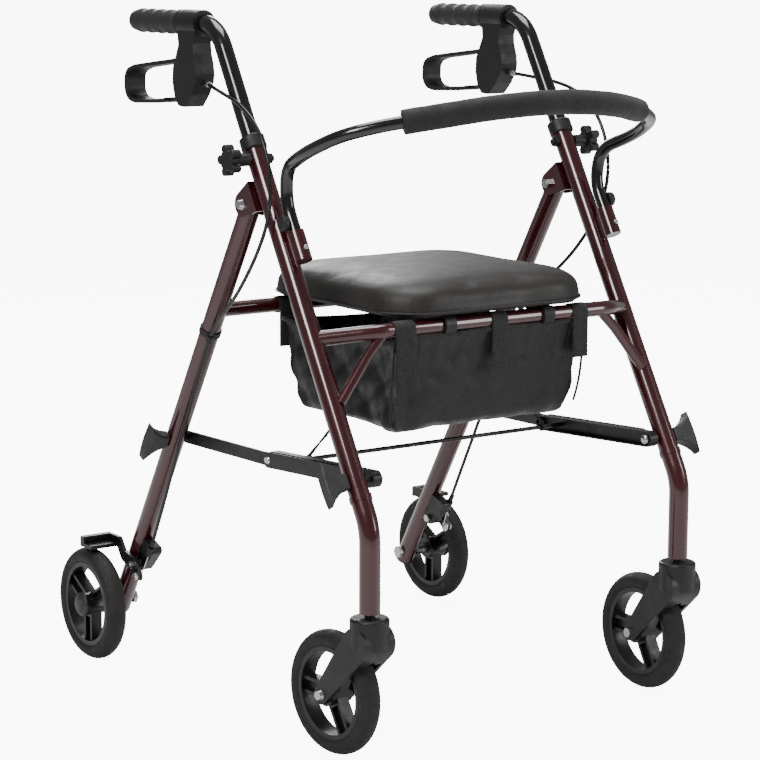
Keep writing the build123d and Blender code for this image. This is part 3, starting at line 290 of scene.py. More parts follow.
LOOKS = {
    "main_tube": PAINT, "rear_leg": PAINT, "lower_legs": PAINT, "front_crossbar": PAINT,
    "pivot_brackets": PAINT, "backrest_sockets": PAINT, "rear_crossbar": PAINT, "brake_brackets": STEEL_BLACK,
    "handle_tube": GLOSS_TUBE, "backrest_tube": GLOSS_TUBE,
    "brace_front_links": STEEL_BLACK, "brace_rear_links": STEEL_BLACK, "brake_arm": STEEL_BLACK,
    "tube_collars": PLASTIC, "leg_plugs": PLASTIC, "cable_clips": PLASTIC, "brake_housing": PLASTIC,
    "brake_lever": PLASTIC, "star_knob": PLASTIC, "backrest_stop_knobs": PLASTIC, "seat_base": PLASTIC,
    "wing_knob_front": KNOB_GREY, "wing_knob_rear": KNOB_GREY, "fork": FORK_PLASTIC,
    "front_rim": RIM_PLASTIC, "rear_rim": RIM_PLASTIC, "front_tyre": TYRE, "rear_tyre": TYRE,
    "pivot_bolts": BRIGHT, "rear_axles": ZINC, "brake_bolts": ZINC, "knee_rivets": BRIGHT,
    "front_axle": ZINC, "snap_button": ZINC, "grip": GRIP_RUBBER, "backrest_foam": FOAM,
    "brake_cable_upper": CABLE_SKIN, "brake_cable_lower": CABLE_SKIN, "seat_cushion": VINYL,
    "bag": NYLON, "bag_straps": WEBBING,
}
BEVELS = {
    "fork": 0.0022, "brake_housing": 0.0026, "brake_lever": 0.0012, "front_rim": 0.0009, "rear_rim": 0.0009,
    "front_tyre": 0.0012, "rear_tyre": 0.0012, "wing_knob_front": 0.0009, "wing_knob_rear": 0.0009,
    "pivot_brackets": 0.0006, "brake_arm": 0.0006, "brace_rear_links": 0.0005, "brace_front_links": 0.0005,
    "seat_base": 0.0008, "brake_brackets": 0.0006, "cable_clips": 0.0004, "main_tube": 0.0003,
    "rear_leg": 0.0003, "leg_plugs": 0.0006, "backrest_sockets": 0.0005, "lower_legs": 0.0005,
    "rear_axles": 0.0004, "pivot_bolts": 0.0005, "brake_bolts": 0.0003, "front_axle": 0.0004,
    "star_knob": 0.0005,
}


def smooth_by_angle(thing, angle=32.0):
    """Smooth shading with sharp edges where faces turn more than angle."""
    shape = thing.data
    shape.polygons.foreach_set("use_smooth", [True] * len(shape.polygons))
    work = bmesh.new()
    work.from_mesh(shape)
    for edge in work.edges:
        if len(edge.link_faces) == 2 and edge.calc_face_angle(0.0) > radians(angle):
            edge.smooth = False
    work.to_mesh(shape)
    work.free()


for name, piece in NODES.items():
    stem = name.removesuffix("_right").removesuffix("_left")
    piece.data.materials.clear()
    piece.data.materials.append(LOOKS[stem])
    if stem in BEVELS:
        edge = piece.modifiers.new("edge", "BEVEL")
        edge.width = BEVELS[stem]
        edge.segments = 2
        edge.limit_method = "ANGLE"
        edge.angle_limit = radians(35)
        edge.use_clamp_overlap = True
        edge.harden_normals = True


# ------------------------------------------------------------------ mesh helpers
def add_mesh(name, verts, faces, look, body, smooth=True, uvs=None):
    shape = bpy.data.meshes.new(name)
    shape.from_pydata([tuple(v) for v in verts], [], faces)
    shape.validate()
    if uvs:
        layer = shape.uv_layers.new(name="uv")
        for loop in shape.loops:
            layer.data[loop.index].uv = uvs[loop.vertex_index]
    made = bpy.data.objects.new(name, shape)
    bpy.context.collection.objects.link(made)
    shape.polygons.foreach_set("use_smooth", [smooth] * len(shape.polygons))
    if look:
        shape.materials.append(look)
    if body:
        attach(made, body)
    return made


def apply_modifiers(thing):
    """Leaves only the mesh that the modifiers make."""
    graph = bpy.context.evaluated_depsgraph_get()
    shape = bpy.data.meshes.new_from_object(thing.evaluated_get(graph))
    thing.modifiers.clear()
    old, thing.data = thing.data, shape
    bpy.data.meshes.remove(old)


def line_points(points, steps=10, closed=False):
    """Points along the NURBS curve of a route, read from Blender's own curve."""
    curve = bpy.data.curves.new("route", "CURVE")
    curve.dimensions = "3D"
    curve.resolution_u = steps
    spline = curve.splines.new("NURBS")
    spline.points.add(len(points) - 1)
    for control, point in zip(spline.points, points):
        control.co = (*point, 1)
    spline.order_u = 3
    if closed:
        spline.use_cyclic_u = True
    else:
        spline.use_endpoint_u = True
    holder = bpy.data.objects.new("route", curve)
    bpy.context.collection.objects.link(holder)
    shape = bpy.data.meshes.new_from_object(holder)
    found = [v.co.copy() for v in shape.vertices]
    bpy.data.meshes.remove(shape)
    bpy.data.objects.remove(holder)
    bpy.data.curves.remove(curve)
    return found


def rings_to_mesh(name, rings, look, body, closed=False, caps=True, uvs=None):
    """Skins a list of equal rings of points."""
    count = len(rings[0])
    verts = [p for ring in rings for p in ring]
    faces = []
    pairs = range(len(rings) if closed else len(rings) - 1)
    for i in pairs:
        j = (i + 1) % len(rings)
        for k in range(count):
            m = (k + 1) % count
            faces.append((i * count + k, i * count + m, j * count + m, j * count + k))
    if caps and not closed:
        faces.append(tuple(reversed(range(count))))
        faces.append(tuple(range((len(rings) - 1) * count, len(rings) * count)))
    return add_mesh(name, verts, faces, look, body, uvs=uvs)


def tube(name, path, radius, look, body, sides=14, closed=False, flat=1.0):
    """A tube whose radius may change along its path: radius is a number or a function of 0..1."""
    rings = []
    up = Vector((0, 0, 1))
    total = len(path)
    for i, here in enumerate(path):
        before = path[(i - 1) % total] if closed else path[max(i - 1, 0)]
        after = path[(i + 1) % total] if closed else path[min(i + 1, total - 1)]
        along = (after - before).normalized()
        side = up.cross(along)
        side = side.normalized() if side.length > 0.05 else Vector((1, 0, 0)).cross(along).normalized()
        rise = along.cross(side)
        r = radius(i / (total - 1)) if callable(radius) else radius
        ring = [here + side * cos(t) * r + rise * sin(t) * r * flat
                for t in (2 * pi * k / sides for k in range(sides))]
        rings.append(ring)
    return rings_to_mesh(name, rings, look, body, closed=closed)


def lathe(name, profile, centre, axis, look, body, sides=32):
    """Turns (radius, height) pairs about axis through centre."""
    axis = Vector(axis).normalized()
    side = axis.orthogonal().normalized()
    other = axis.cross(side)
    rings = []
    for radius, height in profile:
        base = Vector(centre) + axis * height
        ring = [base + side * cos(t) * radius + other * sin(t) * radius
                for t in (2 * pi * k / sides for k in range(sides))]
        rings.append(ring)
    made = rings_to_mesh(name, rings, look, body)
    smooth_by_angle(made, 38)
    return made


# ------------------------------------------------------------------ lengths shared with the CAD
LEAN_UP = Vector((0, 0.5, 0.8660254))
LEAN_FORE = Vector((0, -0.8660254, 0.5))
RING = Vector((0, -0.2879, 0.3232))
PIVOT = Vector((0, -0.0558, 0.6456))
AXLE = Vector((0, 0.2780, 0.0762))
LEG_LENGTH = (AXLE - PIVOT).length
LEG_DOWN = (AXLE - PIVOT).normalized()
LEG_FORE = Vector((0, LEG_DOWN.z, -LEG_DOWN.y))


def on_main(side, s, fore=0.0, out=0.0):
    return Vector((SIDES[side] * (SIDE_X + out), 0, 0)) + RING + LEAN_UP * s + LEAN_FORE * fore


def on_leg(side, d, fore=0.0, out=0.0):
    return Vector((SIDES[side] * (SIDE_X + out), 0, 0)) + PIVOT + LEG_DOWN * d + LEG_FORE * fore


# ------------------------------------------------------------------ seat cushion
SEAT_MIDDLE = Vector((0, -0.091, 0))
SEAT_HALF = (0.157, 0.158)
SEAT_CORNER = 0.064


def seat_outline(inset, count=176):
    """Points of the seat's rounded outline pulled in by inset, with sides that bow in slightly."""
    a, b = SEAT_HALF[0] - inset, SEAT_HALF[1] - inset
    r = max(SEAT_CORNER - 0.6 * inset, 0.004)
    r = min(r, a - 0.001, b - 0.001)
    corners = ((a - r, b - r, 0), (-(a - r), b - r, 90), (-(a - r), -(b - r), 180), (a - r, -(b - r), 270))
    raw = []
    for x, y, start in corners:
        for step in range(13):
            t = radians(start + step * 90 / 12)
            raw.append(Vector((x + r * cos(t), y + r * sin(t))))
    lengths = [0.0]
    for here, after in zip(raw, raw[1:] + raw[:1]):
        lengths.append(lengths[-1] + (after - here).length)
    points = []
    k = 0
    for i in range(count):
        want = lengths[-1] * i / count
        while lengths[k + 1] < want:
            k += 1
        share = (want - lengths[k]) / (lengths[k + 1] - lengths[k])
        point = raw[k].lerp(raw[(k + 1) % len(raw)], share)
        waist = 0.0022 * max(0.0, 1 - (2 * min(abs(point.x), abs(point.y)) / a) ** 2)
        points.append(point * (1 - waist / max(point.length, 0.01)))
    return points


def seat_ring(inset, z):
    return [Vector((p.x, p.y, z)) + SEAT_MIDDLE for p in seat_outline(inset)]


SEAT_PROFILE = [
    (0.0150, 0.5236), (0.0150, 0.5176), (0.0092, 0.5166), (0.0046, 0.5170), (0.0020, 0.5186),
    (0.0012, 0.5210), (0.0030, 0.5222), (0.0012, 0.5236), (0.0002, 0.5264), (0.0000, 0.5312),
    (0.0008, 0.5360), (0.0030, 0.5408), (0.0068, 0.5448), (0.0122, 0.5482), (0.0192, 0.5510),
    (0.0284, 0.5533), (0.0400, 0.5552), (0.0560, 0.5567), (0.0760, 0.5578), (0.0980, 0.5585),
    (0.1220, 0.5589), (0.1440, 0.5590),
]


def inflate(thing, cap, keep_below, voxel=0.005, frames=20, pressure=4.0):
    """Swells a closed mesh with cloth, holds everything below keep_below, caps each point's travel."""
    remesh = thing.modifiers.new("remesh", "REMESH")
    remesh.mode = "VOXEL"
    remesh.voxel_size = voxel
    apply_modifiers(thing)
    start = [v.co.copy() for v in thing.data.vertices]
    cloth = thing.modifiers.new("cloth", "CLOTH")
    settings = cloth.settings
    settings.quality = 4
    settings.mass = 0.3
    settings.use_pressure = True
    settings.uniform_pressure_force = pressure
    settings.tension_stiffness = 12
    settings.compression_stiffness = 12
    settings.bending_stiffness = 0.6
    settings.effector_weights.gravity = 0
    cloth.collision_settings.use_collision = False
    cloth.collision_settings.use_self_collision = False
    cloth.point_cache.frame_start = 1
    cloth.point_cache.frame_end = frames
    scene = bpy.context.scene
    for number in range(1, frames + 1):
        scene.frame_set(number)
    graph = bpy.context.evaluated_depsgraph_get()
    swollen = [v.co.copy() for v in thing.evaluated_get(graph).data.vertices]
    thing.modifiers.clear()
    scene.frame_set(1)
    for vertex, before, after in zip(thing.data.vertices, start, swollen):
        free = min(1.0, max(0.0, (before.z - keep_below) / 0.006))
        move = (after - before) * free
        if move.length > cap:
            move *= cap / move.length
        vertex.co = before + move


cushion = rings_to_mesh("seat_pad", [seat_ring(i + 0.0008, z) for i, z in SEAT_PROFILE], VINYL, None)
inflate(cushion, 0.0035, 0.526)
relax = cushion.modifiers.new("relax", "SMOOTH")
relax.factor = 0.5
relax.iterations = 3
finer = cushion.modifiers.new("finer", "SUBSURF")
finer.levels = finer.render_levels = 1
apply_modifiers(cushion)
cushion.data.polygons.foreach_set("use_smooth", [True] * len(cushion.data.polygons))
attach(cushion, "seat")
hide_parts("seat_cushion")

welt = tube("seat_welt", seat_ring(0.0016, 0.5223), 0.0014, VINYL, "seat", sides=8, closed=True)

# ------------------------------------------------------------------ backrest foam
foam = NODES["backrest_foam"].copy()
foam.data = NODES["backrest_foam"].data.copy()
foam.name = "foam_sleeve"
bpy.context.collection.objects.link(foam)
foam.modifiers.clear()
foam.parent = None
skin = foam.modifiers.new("remesh", "REMESH")
skin.mode = "VOXEL"
skin.voxel_size = 0.0028
relax = foam.modifiers.new("relax", "SMOOTH")
relax.factor = 0.6
relax.iterations = 4
apply_modifiers(foam)
for vertex in foam.data.vertices:
    wander = noise.noise(vertex.co * 22) * 0.0005 + noise.noise(vertex.co * 75) * 0.00018
    vertex.co += vertex.normal * wander
foam.data.polygons.foreach_set("use_smooth", [True] * len(foam.data.polygons))
foam.data.materials.clear()
foam.data.materials.append(FOAM)
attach(foam, "main_frame")
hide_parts("backrest_foam")

# ------------------------------------------------------------------ bag
BAG_MID = -0.009
BAG_X = 0.150
BAG_BACK, BAG_FRONT = 0.0125, -0.2400
BAG_LOW, BAG_TOP = 0.3785, 0.4895
BAR_Y, BAR_Z = -0.2330, 0.5045
REAR_BAR = (0.025, 0.505)
STRAPS_FRONT = (-0.142, 0.0, 0.127)
STRAPS_REAR = (-0.142, 0.127)


def bag_walls(columns_x=34, columns_y=30, rows=14):
    """Four walls of quads, bottom to top, then the bottom as a grid.  Returns verts, faces, wall grid."""
    outline = []
    for i in range(columns_x):
        outline.append((-BAG_X + 2 * BAG_X * i / columns_x, BAG_FRONT, "front"))
    for i in range(columns_y):
        outline.append((BAG_X, BAG_FRONT + (BAG_BACK - BAG_FRONT) * i / columns_y, "left"))
    for i in range(columns_x):
        outline.append((BAG_X - 2 * BAG_X * i / columns_x, BAG_BACK, "back"))
    for i in range(columns_y):
        outline.append((-BAG_X, BAG_BACK - (BAG_BACK - BAG_FRONT) * i / columns_y, "right"))
    middle_y = (BAG_FRONT + BAG_BACK) / 2
    half_y = (BAG_BACK - BAG_FRONT) / 2
    verts, grid = [], []
    for row in range(rows + 1):
        t = row / rows
        level = []
        for x, y, wall in outline:
            u = x / BAG_X
            v = (y - middle_y) / half_y
            corner = max(0.0, abs(u) + abs(v) - 1.72) / 0.28
            pull = 1 - 0.035 * corner
            belly = 1 - 0.055 * (1 - t) ** 3
            px, py = u * BAG_X * pull * belly, middle_y + v * half_y * pull * belly
            if wall in ("left", "right"):
                dent = 0.020 * (1 - v * v) * (0.35 + 0.65 * t)
                px -= (1 if wall == "left" else -1) * dent
                top = BAG_TOP - 0.011 * (1 - v * v)
            elif wall == "front":
                swag = abs(sin(pi * (u * BAG_X + BAG_MID) / 0.135))
                top = BAG_TOP + 0.0062 - 0.0022 * swag
            else:
                top = BAG_TOP - 0.009 * (1 - u * u)
            low = BAG_LOW + 0.006 * (u * u) + 0.006 * (v * v)
            sag = max(0.0, -u) * max(0.0, -v) * (1 - t) ** 1.5
            px -= 0.010 * sag
            low -= 0.004 * sag
            level.append(len(verts))
            verts.append(Vector((BAG_MID + px, py, low + (top - low) * t)))
        grid.append(level)
    faces = []
    count = len(outline)
    for row in range(rows):
        for k in range(count):
            m = (k + 1) % count
            faces.append((grid[row][k], grid[row][m], grid[row + 1][m], grid[row + 1][k]))
    floor = {}
    for i in range(columns_x + 1):
        for j in range(columns_y + 1):
            if j == 0:
                floor[i, j] = grid[0][i]
            elif i == columns_x:
                floor[i, j] = grid[0][columns_x + j]
            elif j == columns_y:
                floor[i, j] = grid[0][columns_x + columns_y + (columns_x - i)]
            elif i == 0:
                floor[i, j] = grid[0][2 * columns_x + columns_y + (columns_y - j)]
            else:
                u, v = 2 * i / columns_x - 1, 2 * j / columns_y - 1
                z = BAG_LOW - 0.0005 + 0.0035 * u * u + 0.002 * v * v
                floor[i, j] = len(verts)
                verts.append(Vector((BAG_MID + u * BAG_X * 0.945, middle_y + v * half_y * 0.945, z)))
    for i in range(columns_x):
        for j in range(columns_y):
            faces.append((floor[i, j], floor[i, j + 1], floor[i + 1, j + 1], floor[i + 1, j]))
    return verts, faces, grid, (columns_x, columns_y, rows)


FOLDS = (  # slope, pitch, height and phase of each set of folds
    (1.5, 0.052, 0.0036, 0.4), (-1.1, 0.071, 0.0030, 1.9), (0.2, 0.033, 0.0012, 0.7),
)


def crease(point, normal_x):
    """Folds of a hanging cloth panel, as a height in metres."""
    along = point.y if normal_x else point.x
    z = point.z
    folds = 0.0
    for slope, pitch, height, phase in FOLDS:
        run = (along + slope * z) / pitch * 2 * pi + phase + 1.6 * noise.noise(point * 9)
        folds += height * (1 - abs(sin(run / 2)) ** 0.55)
    return folds + 0.004 * noise.noise(point * 16 + Vector((3, 1, 7)))


verts, faces, bag_grid, bag_count = bag_walls()
bag = add_mesh("bag_shell", verts, faces, NYLON, None)
pins = bag.vertex_groups.new(name="held")
columns_x, columns_y, rows = bag_count
for k, index in enumerate(bag_grid[rows]):
    pins.add([index], 1.0, "REPLACE")
start = [v.co.copy() for v in bag.data.vertices]
middle_y = (BAG_FRONT + BAG_BACK) / 2
settled = list(start)
cloth = bag.modifiers.new("cloth", "CLOTH")
cloth.settings.quality = 5
cloth.settings.mass = 0.15
cloth.settings.tension_stiffness = 18
cloth.settings.compression_stiffness = 6
cloth.settings.shear_stiffness = 4
cloth.settings.bending_stiffness = 0.08
cloth.settings.vertex_group_mass = "held"
cloth.settings.shrink_min = -0.045
cloth.settings.effector_weights.gravity = 0.5
cloth.collision_settings.use_collision = False
cloth.collision_settings.use_self_collision = False
cloth.point_cache.frame_end = 26
for number in range(1, 27):
    bpy.context.scene.frame_set(number)
graph = bpy.context.evaluated_depsgraph_get()
settled = [v.co.copy() for v in bag.evaluated_get(graph).data.vertices]
bag.modifiers.clear()
bpy.context.scene.frame_set(1)
for vertex, before, after in zip(bag.data.vertices, start, settled):
    move = after - before
    if move.length > 0.009:
        move *= 0.009 / move.length
    place = before + move
    side_wall = abs(before.x - BAG_MID) > BAG_X * 0.86
    high = max(0.0, (before.z - BAG_LOW) / (BAG_TOP - BAG_LOW))
    taper = min(1.0, high * 6) * min(1.0, (1 - high) * 5 + 0.15)
    if high > 0.01:
        if side_wall:
            place.x -= (1 if before.x > 0 else -1) * crease(before, True) * taper * 1.5
        else:
            inward = 1 if before.y < middle_y else -1
            place.y += inward * crease(before, False) * taper * 0.8
    place.x = max(-0.1700, min(0.1430, place.x))
    place.y = max(-0.2406, min(0.0133, place.y))
    place.z = max(0.3745, place.z)
    vertex.co = place
finer = bag.modifiers.new("finer", "SUBSURF")
finer.levels = finer.render_levels = 2
thick = bag.modifiers.new("thick", "SOLIDIFY")
thick.thickness = 0.0009
thick.offset = -1
apply_modifiers(bag)
bag.data.polygons.foreach_set("use_smooth", [True] * len(bag.data.polygons))
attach(bag, "main_frame")
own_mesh(bag)
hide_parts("bag")


def ribbon(name, path, width, thickness, look, body, across=(1, 0, 0), closed=False, lanes=6):
    """Flat webbing along a path, its width along across, with soft selvedges."""
    across = Vector(across).normalized()
    total = len(path)
    rings, uvs = [], []
    length = 0.0
    for i, here in enumerate(path):
        before = path[(i - 1) % total] if closed else path[max(i - 1, 0)]
        after = path[(i + 1) % total] if closed else path[min(i + 1, total - 1)]
        out = (after - before).normalized().cross(across).normalized()
        if i:
            length += (here - path[i - 1]).length
        ring = []
        for k in range(lanes + 1):
            t = k / lanes - 0.5
            edge = 1 - 0.45 * abs(2 * t) ** 6
            ring.append((here + across * width * t + out * thickness / 2 * edge, (width * t, length)))
        for k in range(lanes, -1, -1):
            t = k / lanes - 0.5
            edge = 1 - 0.45 * abs(2 * t) ** 6
            ring.append((here + across * width * t - out * thickness / 2 * edge, (width * t, length)))
        rings.append([p for p, _ in ring])
        uvs += [uv for _, uv in ring]
    return rings_to_mesh(name, rings, look, body, closed=closed, uvs=uvs)


def strap(name, bar, x, panel_y, low, body, width=0.024):
    """A strap: round the bar, and its tail down the bag's panel."""
    y, z = bar
    r = 0.01035
    down = 1 if panel_y > y else -1
    path = [Vector((x, panel_y, low + i * (z - 0.006 - low) / 10)) for i in range(11)]
    for i in range(25):
        t = radians(180 - i * 300 / 24) if down < 0 else radians(i * 300 / 24)
        path.append(Vector((x, y + r * cos(t), z + r * sin(t))))
    return ribbon(name, path, width, 0.0010, WEBBING, body)


KNOT_R = 0.0042
bag_trim = []
for number, x in enumerate(STRAPS_FRONT):
    width = 0.024 if number else 0.030
    bag_trim.append(
        strap(f"bag_strap_front_{number + 1}", (BAR_Y, BAR_Z), x, BAR_Y - 0.01035, 0.448, "main_frame", width))
for number, x in enumerate(STRAPS_REAR):
    bag_trim.append(
        strap(f"bag_strap_rear_{number + 1}", REAR_BAR, x, REAR_BAR[0] - 0.01035, 0.452, "rear_frame"))
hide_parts("bag_straps")

for side, sign in SIDES.items():
    for strand, (shift, slack) in enumerate(((0.0, 0.0), (0.006, 0.005))):
        points = [
            (sign * (0.136 + shift), -0.098, 0.3775),
            (sign * (0.152 + shift), -0.099 - slack, 0.365 - slack),
            (sign * (0.170 + shift), -0.100, 0.348 - slack),
            (sign * (0.1835 + shift / 2), -0.1012, 0.3345),
            (sign * (0.1845 + shift / 2), -0.0981, 0.3318),
        ]
        tie_name = f"pull_tie_{side}_{strand + 1}"
        tie = tube(tie_name, line_points(points, 6), 0.0014, WEBBING, "brace_front", sides=8)
        bag_trim.append(tie)
    knot = []
    for i in range(28):
        t = 2 * pi * i / 27 * 2
        x = sign * (0.1825 + KNOT_R * i / 27)
        knot.append(Vector((x, -0.0981 + KNOT_R * cos(t), 0.3285 + KNOT_R * sin(t))))
    bag_trim.append(tube(f"pull_tie_knot_{side}", knot, 0.0015, WEBBING, "brace_front", sides=8))

# binding tape round the bag's top edge and down its front corners
top = [start[i].copy() for i in bag_grid[rows]]
for point in top:
    point.z += 0.0002
bag_trim.append(tube("bag_top_binding", top, 0.0018, WEBBING, "main_frame", sides=8, closed=True, flat=1.8))
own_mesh(bag_trim[-1])
for side, k in (("right", 0), ("left", columns_x)):
    edge_line = []
    for row in range(rows + 1):
        vertex = start[bag_grid[row][k]]
        edge_line.append(Vector((vertex.x * 1.004, vertex.y - 0.0008, vertex.z)))
    bag_trim.append(tube(f"bag_corner_binding_{side}", edge_line, 0.0016, WEBBING, "main_frame", sides=8))
    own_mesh(bag_trim[-1])

# ------------------------------------------------------------------ brake cables
CABLE_OUT = 0.022
CLIP_D, CLIP_FORE, CLIP_OUT = 0.196, 0.016, 0.010
BRAKE_D = LEG_LENGTH - 0.085
ANCHOR_FORE = 0.034


def cable_route(side):
    """The route's control points, housing to ferrule."""
    s = SIDES[side]
    return [
        Vector((s * SIDE_X, 0.0450, 0.7861)),
        Vector((s * (SIDE_X + 0.009), 0.012, 0.782)),
        Vector((s * (SIDE_X + 0.019), -0.027, 0.777)),
        Vector((s * (SIDE_X + CABLE_OUT), -0.068, 0.767)),
        Vector((s * (SIDE_X + CABLE_OUT), -0.104, 0.744)),
        Vector((s * (SIDE_X + CABLE_OUT), -0.127, 0.709)),
        Vector((s * (SIDE_X + CABLE_OUT), -0.134, 0.668)),
        Vector((s * (SIDE_X + CABLE_OUT), -0.125, 0.628)),
        Vector((s * (SIDE_X + 0.021), -0.100, 0.589)),
        Vector((s * (SIDE_X + 0.019), -0.066, 0.551)),
        Vector((s * (SIDE_X + 0.015), -0.030, 0.520)),
        on_leg(side, CLIP_D - 0.022, CLIP_FORE, CLIP_OUT),
        on_leg(side, CLIP_D + 0.022, CLIP_FORE, CLIP_OUT),
        on_leg(side, CLIP_D + 0.080, CLIP_FORE + 0.0026, CLIP_OUT - 0.0004),
        on_leg(side, CLIP_D + 0.140, CLIP_FORE + 0.0059, CLIP_OUT - 0.0011),
        on_leg(side, CLIP_D + 0.200, CLIP_FORE + 0.0096, CLIP_OUT - 0.0012),
        on_leg(side, CLIP_D + 0.250, CLIP_FORE + 0.0128, CLIP_OUT - 0.0019),
        on_leg(side, BRAKE_D - 0.080, ANCHOR_FORE - 0.0024, 0.008),
        on_leg(side, BRAKE_D - 0.0406, ANCHOR_FORE, 0.008),
    ]


for side, sign in SIDES.items():
    route = cable_route(side)
    split = (route[6] + route[7]) / 2
    upper = tube(f"cable_upper_{side}", line_points(route[:7] + [split]), 0.0024, CABLE_SKIN, None)
    lower = tube(f"cable_lower_{side}", line_points([split] + route[7:]), 0.0024, CABLE_SKIN, None)
    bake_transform(upper)
    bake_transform(lower)
    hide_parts(f"brake_cable_upper_{side}")
    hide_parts(f"brake_cable_lower_{side}")

# ------------------------------------------------------------------ small hardware
HOUSING_FACE = 0.0110
SCREWS = ((0.0900, 0.8260), (0.0980, 0.7960), (0.0880, 0.7710))
SCREW_PROFILE = [(0.0036, 0.0), (0.0036, 0.0008), (0.0030, 0.0015), (0.0016, 0.0019), (0.0012, 0.0011)]
CAP_PROFILE = [
    (0.0166, 0.0), (0.0166, 0.0022), (0.0158, 0.0034), (0.0128, 0.0052), (0.0104, 0.0060),
    (0.0098, 0.0072), (0.0066, 0.0079), (0.0030, 0.0081),
]
ADJUSTER_PROFILE = [
    (0.0032, 0.0), (0.0039, 0.0006), (0.0039, 0.0052), (0.0031, 0.0058), (0.0031, 0.0100), (0.0026, 0.0106),
]
HEAD_PROFILE = [(0.0058, 0.0), (0.0058, 0.0026), (0.0046, 0.0042), (0.0024, 0.0050)]
BRAKE_PIN = Vector((0, 0.2160, 0.1384))
PINCH = Vector((0, 0.2060, 0.1244))


def coil(name, centre, axis_sign, radius, wire, turns, pitch, tails, look, body):
    """A torsion spring about a line along X, with a straight tail at each end."""
    path = [centre + tails[0]]
    steps = 16 * turns
    for i in range(steps + 1):
        t = 2 * pi * i / 16
        path.append(centre + Vector((axis_sign * pitch * i / 16, radius * cos(t), radius * sin(t))))
    path.append(centre + tails[1] + Vector((axis_sign * pitch * turns, 0, 0)))
    return tube(name, path, wire, look, body, sides=8)


for side, sign in SIDES.items():
    handle = f"handle_{side}"
    for face in (-1, 1):
        for number, (y, z) in enumerate(SCREWS):
            # Zinc heads on the left housing's -X face and the middle one on the right housing's -X face; the
            # others are black steel, and the two black heads on the right housing's outer face are painted
            # shade standing for its dark screw recesses.
            bright = face < 0 and (side == "left" or number == 1)
            screw = lathe(
                f"housing_screw_{side}_{'in' if face == -sign else 'out'}_{number + 1}", SCREW_PROFILE,
                (sign * SIDE_X + face * HOUSING_FACE, y, z), (face, 0, 0),
                ZINC if bright else STEEL_BLACK, handle, sides=20)
    adjuster = lathe(
        f"barrel_adjuster_{side}",
        ADJUSTER_PROFILE,
        (sign * SIDE_X, 0.0462, 0.7862), (0, -1, -0.12), ZINC, handle, sides=20)
    ferrule = lathe(
        f"cable_ferrule_{side}", [(0.0030, 0.0), (0.0034, 0.0006), (0.0034, 0.0110), (0.0028, 0.0120)],
        on_leg(side, BRAKE_D - 0.0402, ANCHOR_FORE, 0.008), -LEG_DOWN, STEEL_BLACK, "rear_frame", sides=18)
    pinch_at = PINCH + Vector((sign * (SIDE_X + 0.0200), 0, 0))
    pinch = lathe(f"pinch_bolt_{side}", HEAD_PROFILE, pinch_at, (sign, 0, 0), ZINC, f"brake_{side}", sides=6)
    washer = lathe(
        f"pinch_washer_{side}", [(0.0068, 0.0), (0.0068, 0.0012), (0.0060, 0.0014)],
        PINCH + Vector((sign * (SIDE_X + 0.0150), 0, 0)), (-sign, 0, 0), ZINC, f"brake_{side}", sides=24)
    wire_top = on_leg(side, BRAKE_D - 0.0262, ANCHOR_FORE, 0.008)
    wire_foot = PINCH + Vector((sign * (SIDE_X + 0.0125), 0, 0.001))
    wire = tube(
        f"cable_wire_{side}", [wire_top.lerp(wire_foot, i / 8) for i in range(9)], 0.0009, ZINC, None, sides=8)
    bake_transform(wire)
    spring = coil(
        f"return_spring_{side}", BRAKE_PIN + Vector((sign * (SIDE_X + 0.0082), 0, 0)), sign, 0.0058, 0.0008,
        5, 0.0012, (Vector((0, 0.004, 0.018)), Vector((0, 0.020, 0.008))), STEEL_BLACK, "rear_frame")
    cap = lathe(
        f"hub_cap_{side}", CAP_PROFILE, (sign * 0.3030, 0.2780, 0.0762), (sign, 0, 0), CAP_GREY,
        f"rear_wheel_{side}", sides=40)
    foot = on_main(side, 0.0182, 0.0, 0.0)
    head = lathe(
        f"link_bolt_head_{side}", HEAD_PROFILE, (sign * 0.2080, foot.y, foot.z), (-sign, 0, 0), ZINC,
        "brace_front", sides=20)

# ------------------------------------------------------------------ floor and light
floor_mesh = bpy.data.meshes.new("floor")
size = 14.0
floor_corners = [(-size, -size, 0), (size, -size, 0), (size, size, 0), (-size, size, 0)]
floor_mesh.from_pydata(floor_corners, [], [(0, 1, 2, 3)])
floor = bpy.data.objects.new("floor", floor_mesh)
bpy.context.collection.objects.link(floor)
floor_look = bpy.data.materials.new("pale_floor")
floor_look.use_nodes = True
floor_tree = floor_look.node_tree
floor_tree.nodes["Principled BSDF"].inputs["Base Color"].default_value = (0.86, 0.86, 0.86, 1)
floor_tree.nodes["Principled BSDF"].inputs["Roughness"].default_value = 0.9
glow = node(floor_tree, "ShaderNodeEmission")
glow.inputs["Strength"].default_value = 9.0
seen = node(floor_tree, "ShaderNodeLightPath")
both_ways = node(floor_tree, "ShaderNodeMixShader")
lit = node(floor_tree, "ShaderNodeAddShader")
floor_shader = floor_tree.nodes["Principled BSDF"].outputs["BSDF"]
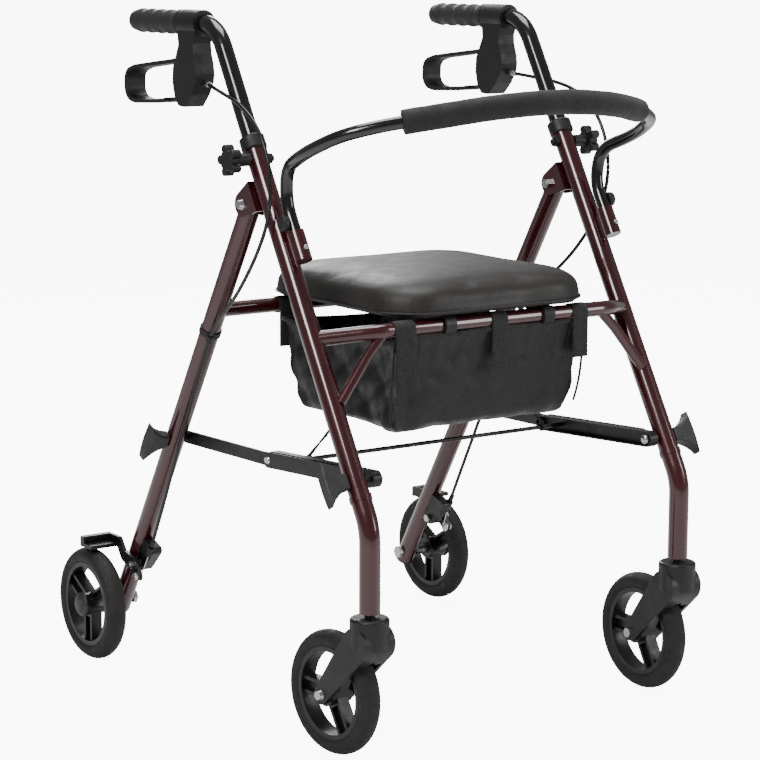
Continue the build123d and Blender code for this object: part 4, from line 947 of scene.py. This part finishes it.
floor_tree.links.new(floor_shader, lit.inputs[0])
floor_tree.links.new(glow.outputs["Emission"], lit.inputs[1])
floor_tree.links.new(seen.outputs["Is Camera Ray"], both_ways.inputs[0])
floor_tree.links.new(floor_shader, both_ways.inputs[1])
floor_tree.links.new(lit.outputs["Shader"], both_ways.inputs[2])
floor_tree.links.new(both_ways.outputs["Shader"], floor_tree.nodes["Material Output"].inputs["Surface"])
floor_mesh.materials.append(floor_look)

world = bpy.data.worlds.new("studio")
bpy.context.scene.world = world
world.use_nodes = True
world_tree = world.node_tree
world_tree.nodes["Background"].inputs["Color"].default_value = (1.0, 1.0, 1.0, 1)
world_tree.nodes["Background"].inputs["Strength"].default_value = 0.24
bright_wall = node(world_tree, "ShaderNodeBackground")
bright_wall.inputs["Strength"].default_value = 11.0
wall_seen = node(world_tree, "ShaderNodeLightPath")
wall_mix = node(world_tree, "ShaderNodeMixShader")
world_tree.links.new(wall_seen.outputs["Is Camera Ray"], wall_mix.inputs[0])
world_tree.links.new(world_tree.nodes["Background"].outputs["Background"], wall_mix.inputs[1])
world_tree.links.new(bright_wall.outputs["Background"], wall_mix.inputs[2])
world_tree.links.new(wall_mix.outputs["Shader"], world_tree.nodes["World Output"].inputs["Surface"])


def soft_light(name, place, aim, size, watts):
    lamp = bpy.data.lights.new(name, "AREA")
    lamp.shape = "RECTANGLE"
    lamp.size, lamp.size_y = size
    lamp.energy = watts
    holder = bpy.data.objects.new(name, lamp)
    bpy.context.collection.objects.link(holder)
    holder.location = place
    holder.rotation_euler = (Vector(aim) - Vector(place)).to_track_quat("-Z", "Y").to_euler()


soft_light("key", (-2.6, -1.4, 2.6), (0, 0, 0.5), (1.0, 1.0), 72)
soft_light("fill", (2.2, -2.8, 1.6), (0, 0, 0.5), (0.6, 1.8), 34)
soft_light("top", (0.2, 0.2, 3.0), (0, 0, 0.4), (1.6, 1.6), 60)
soft_light("back", (1.2, 2.8, 1.8), (0, 0, 0.6), (1.2, 1.2), 42)
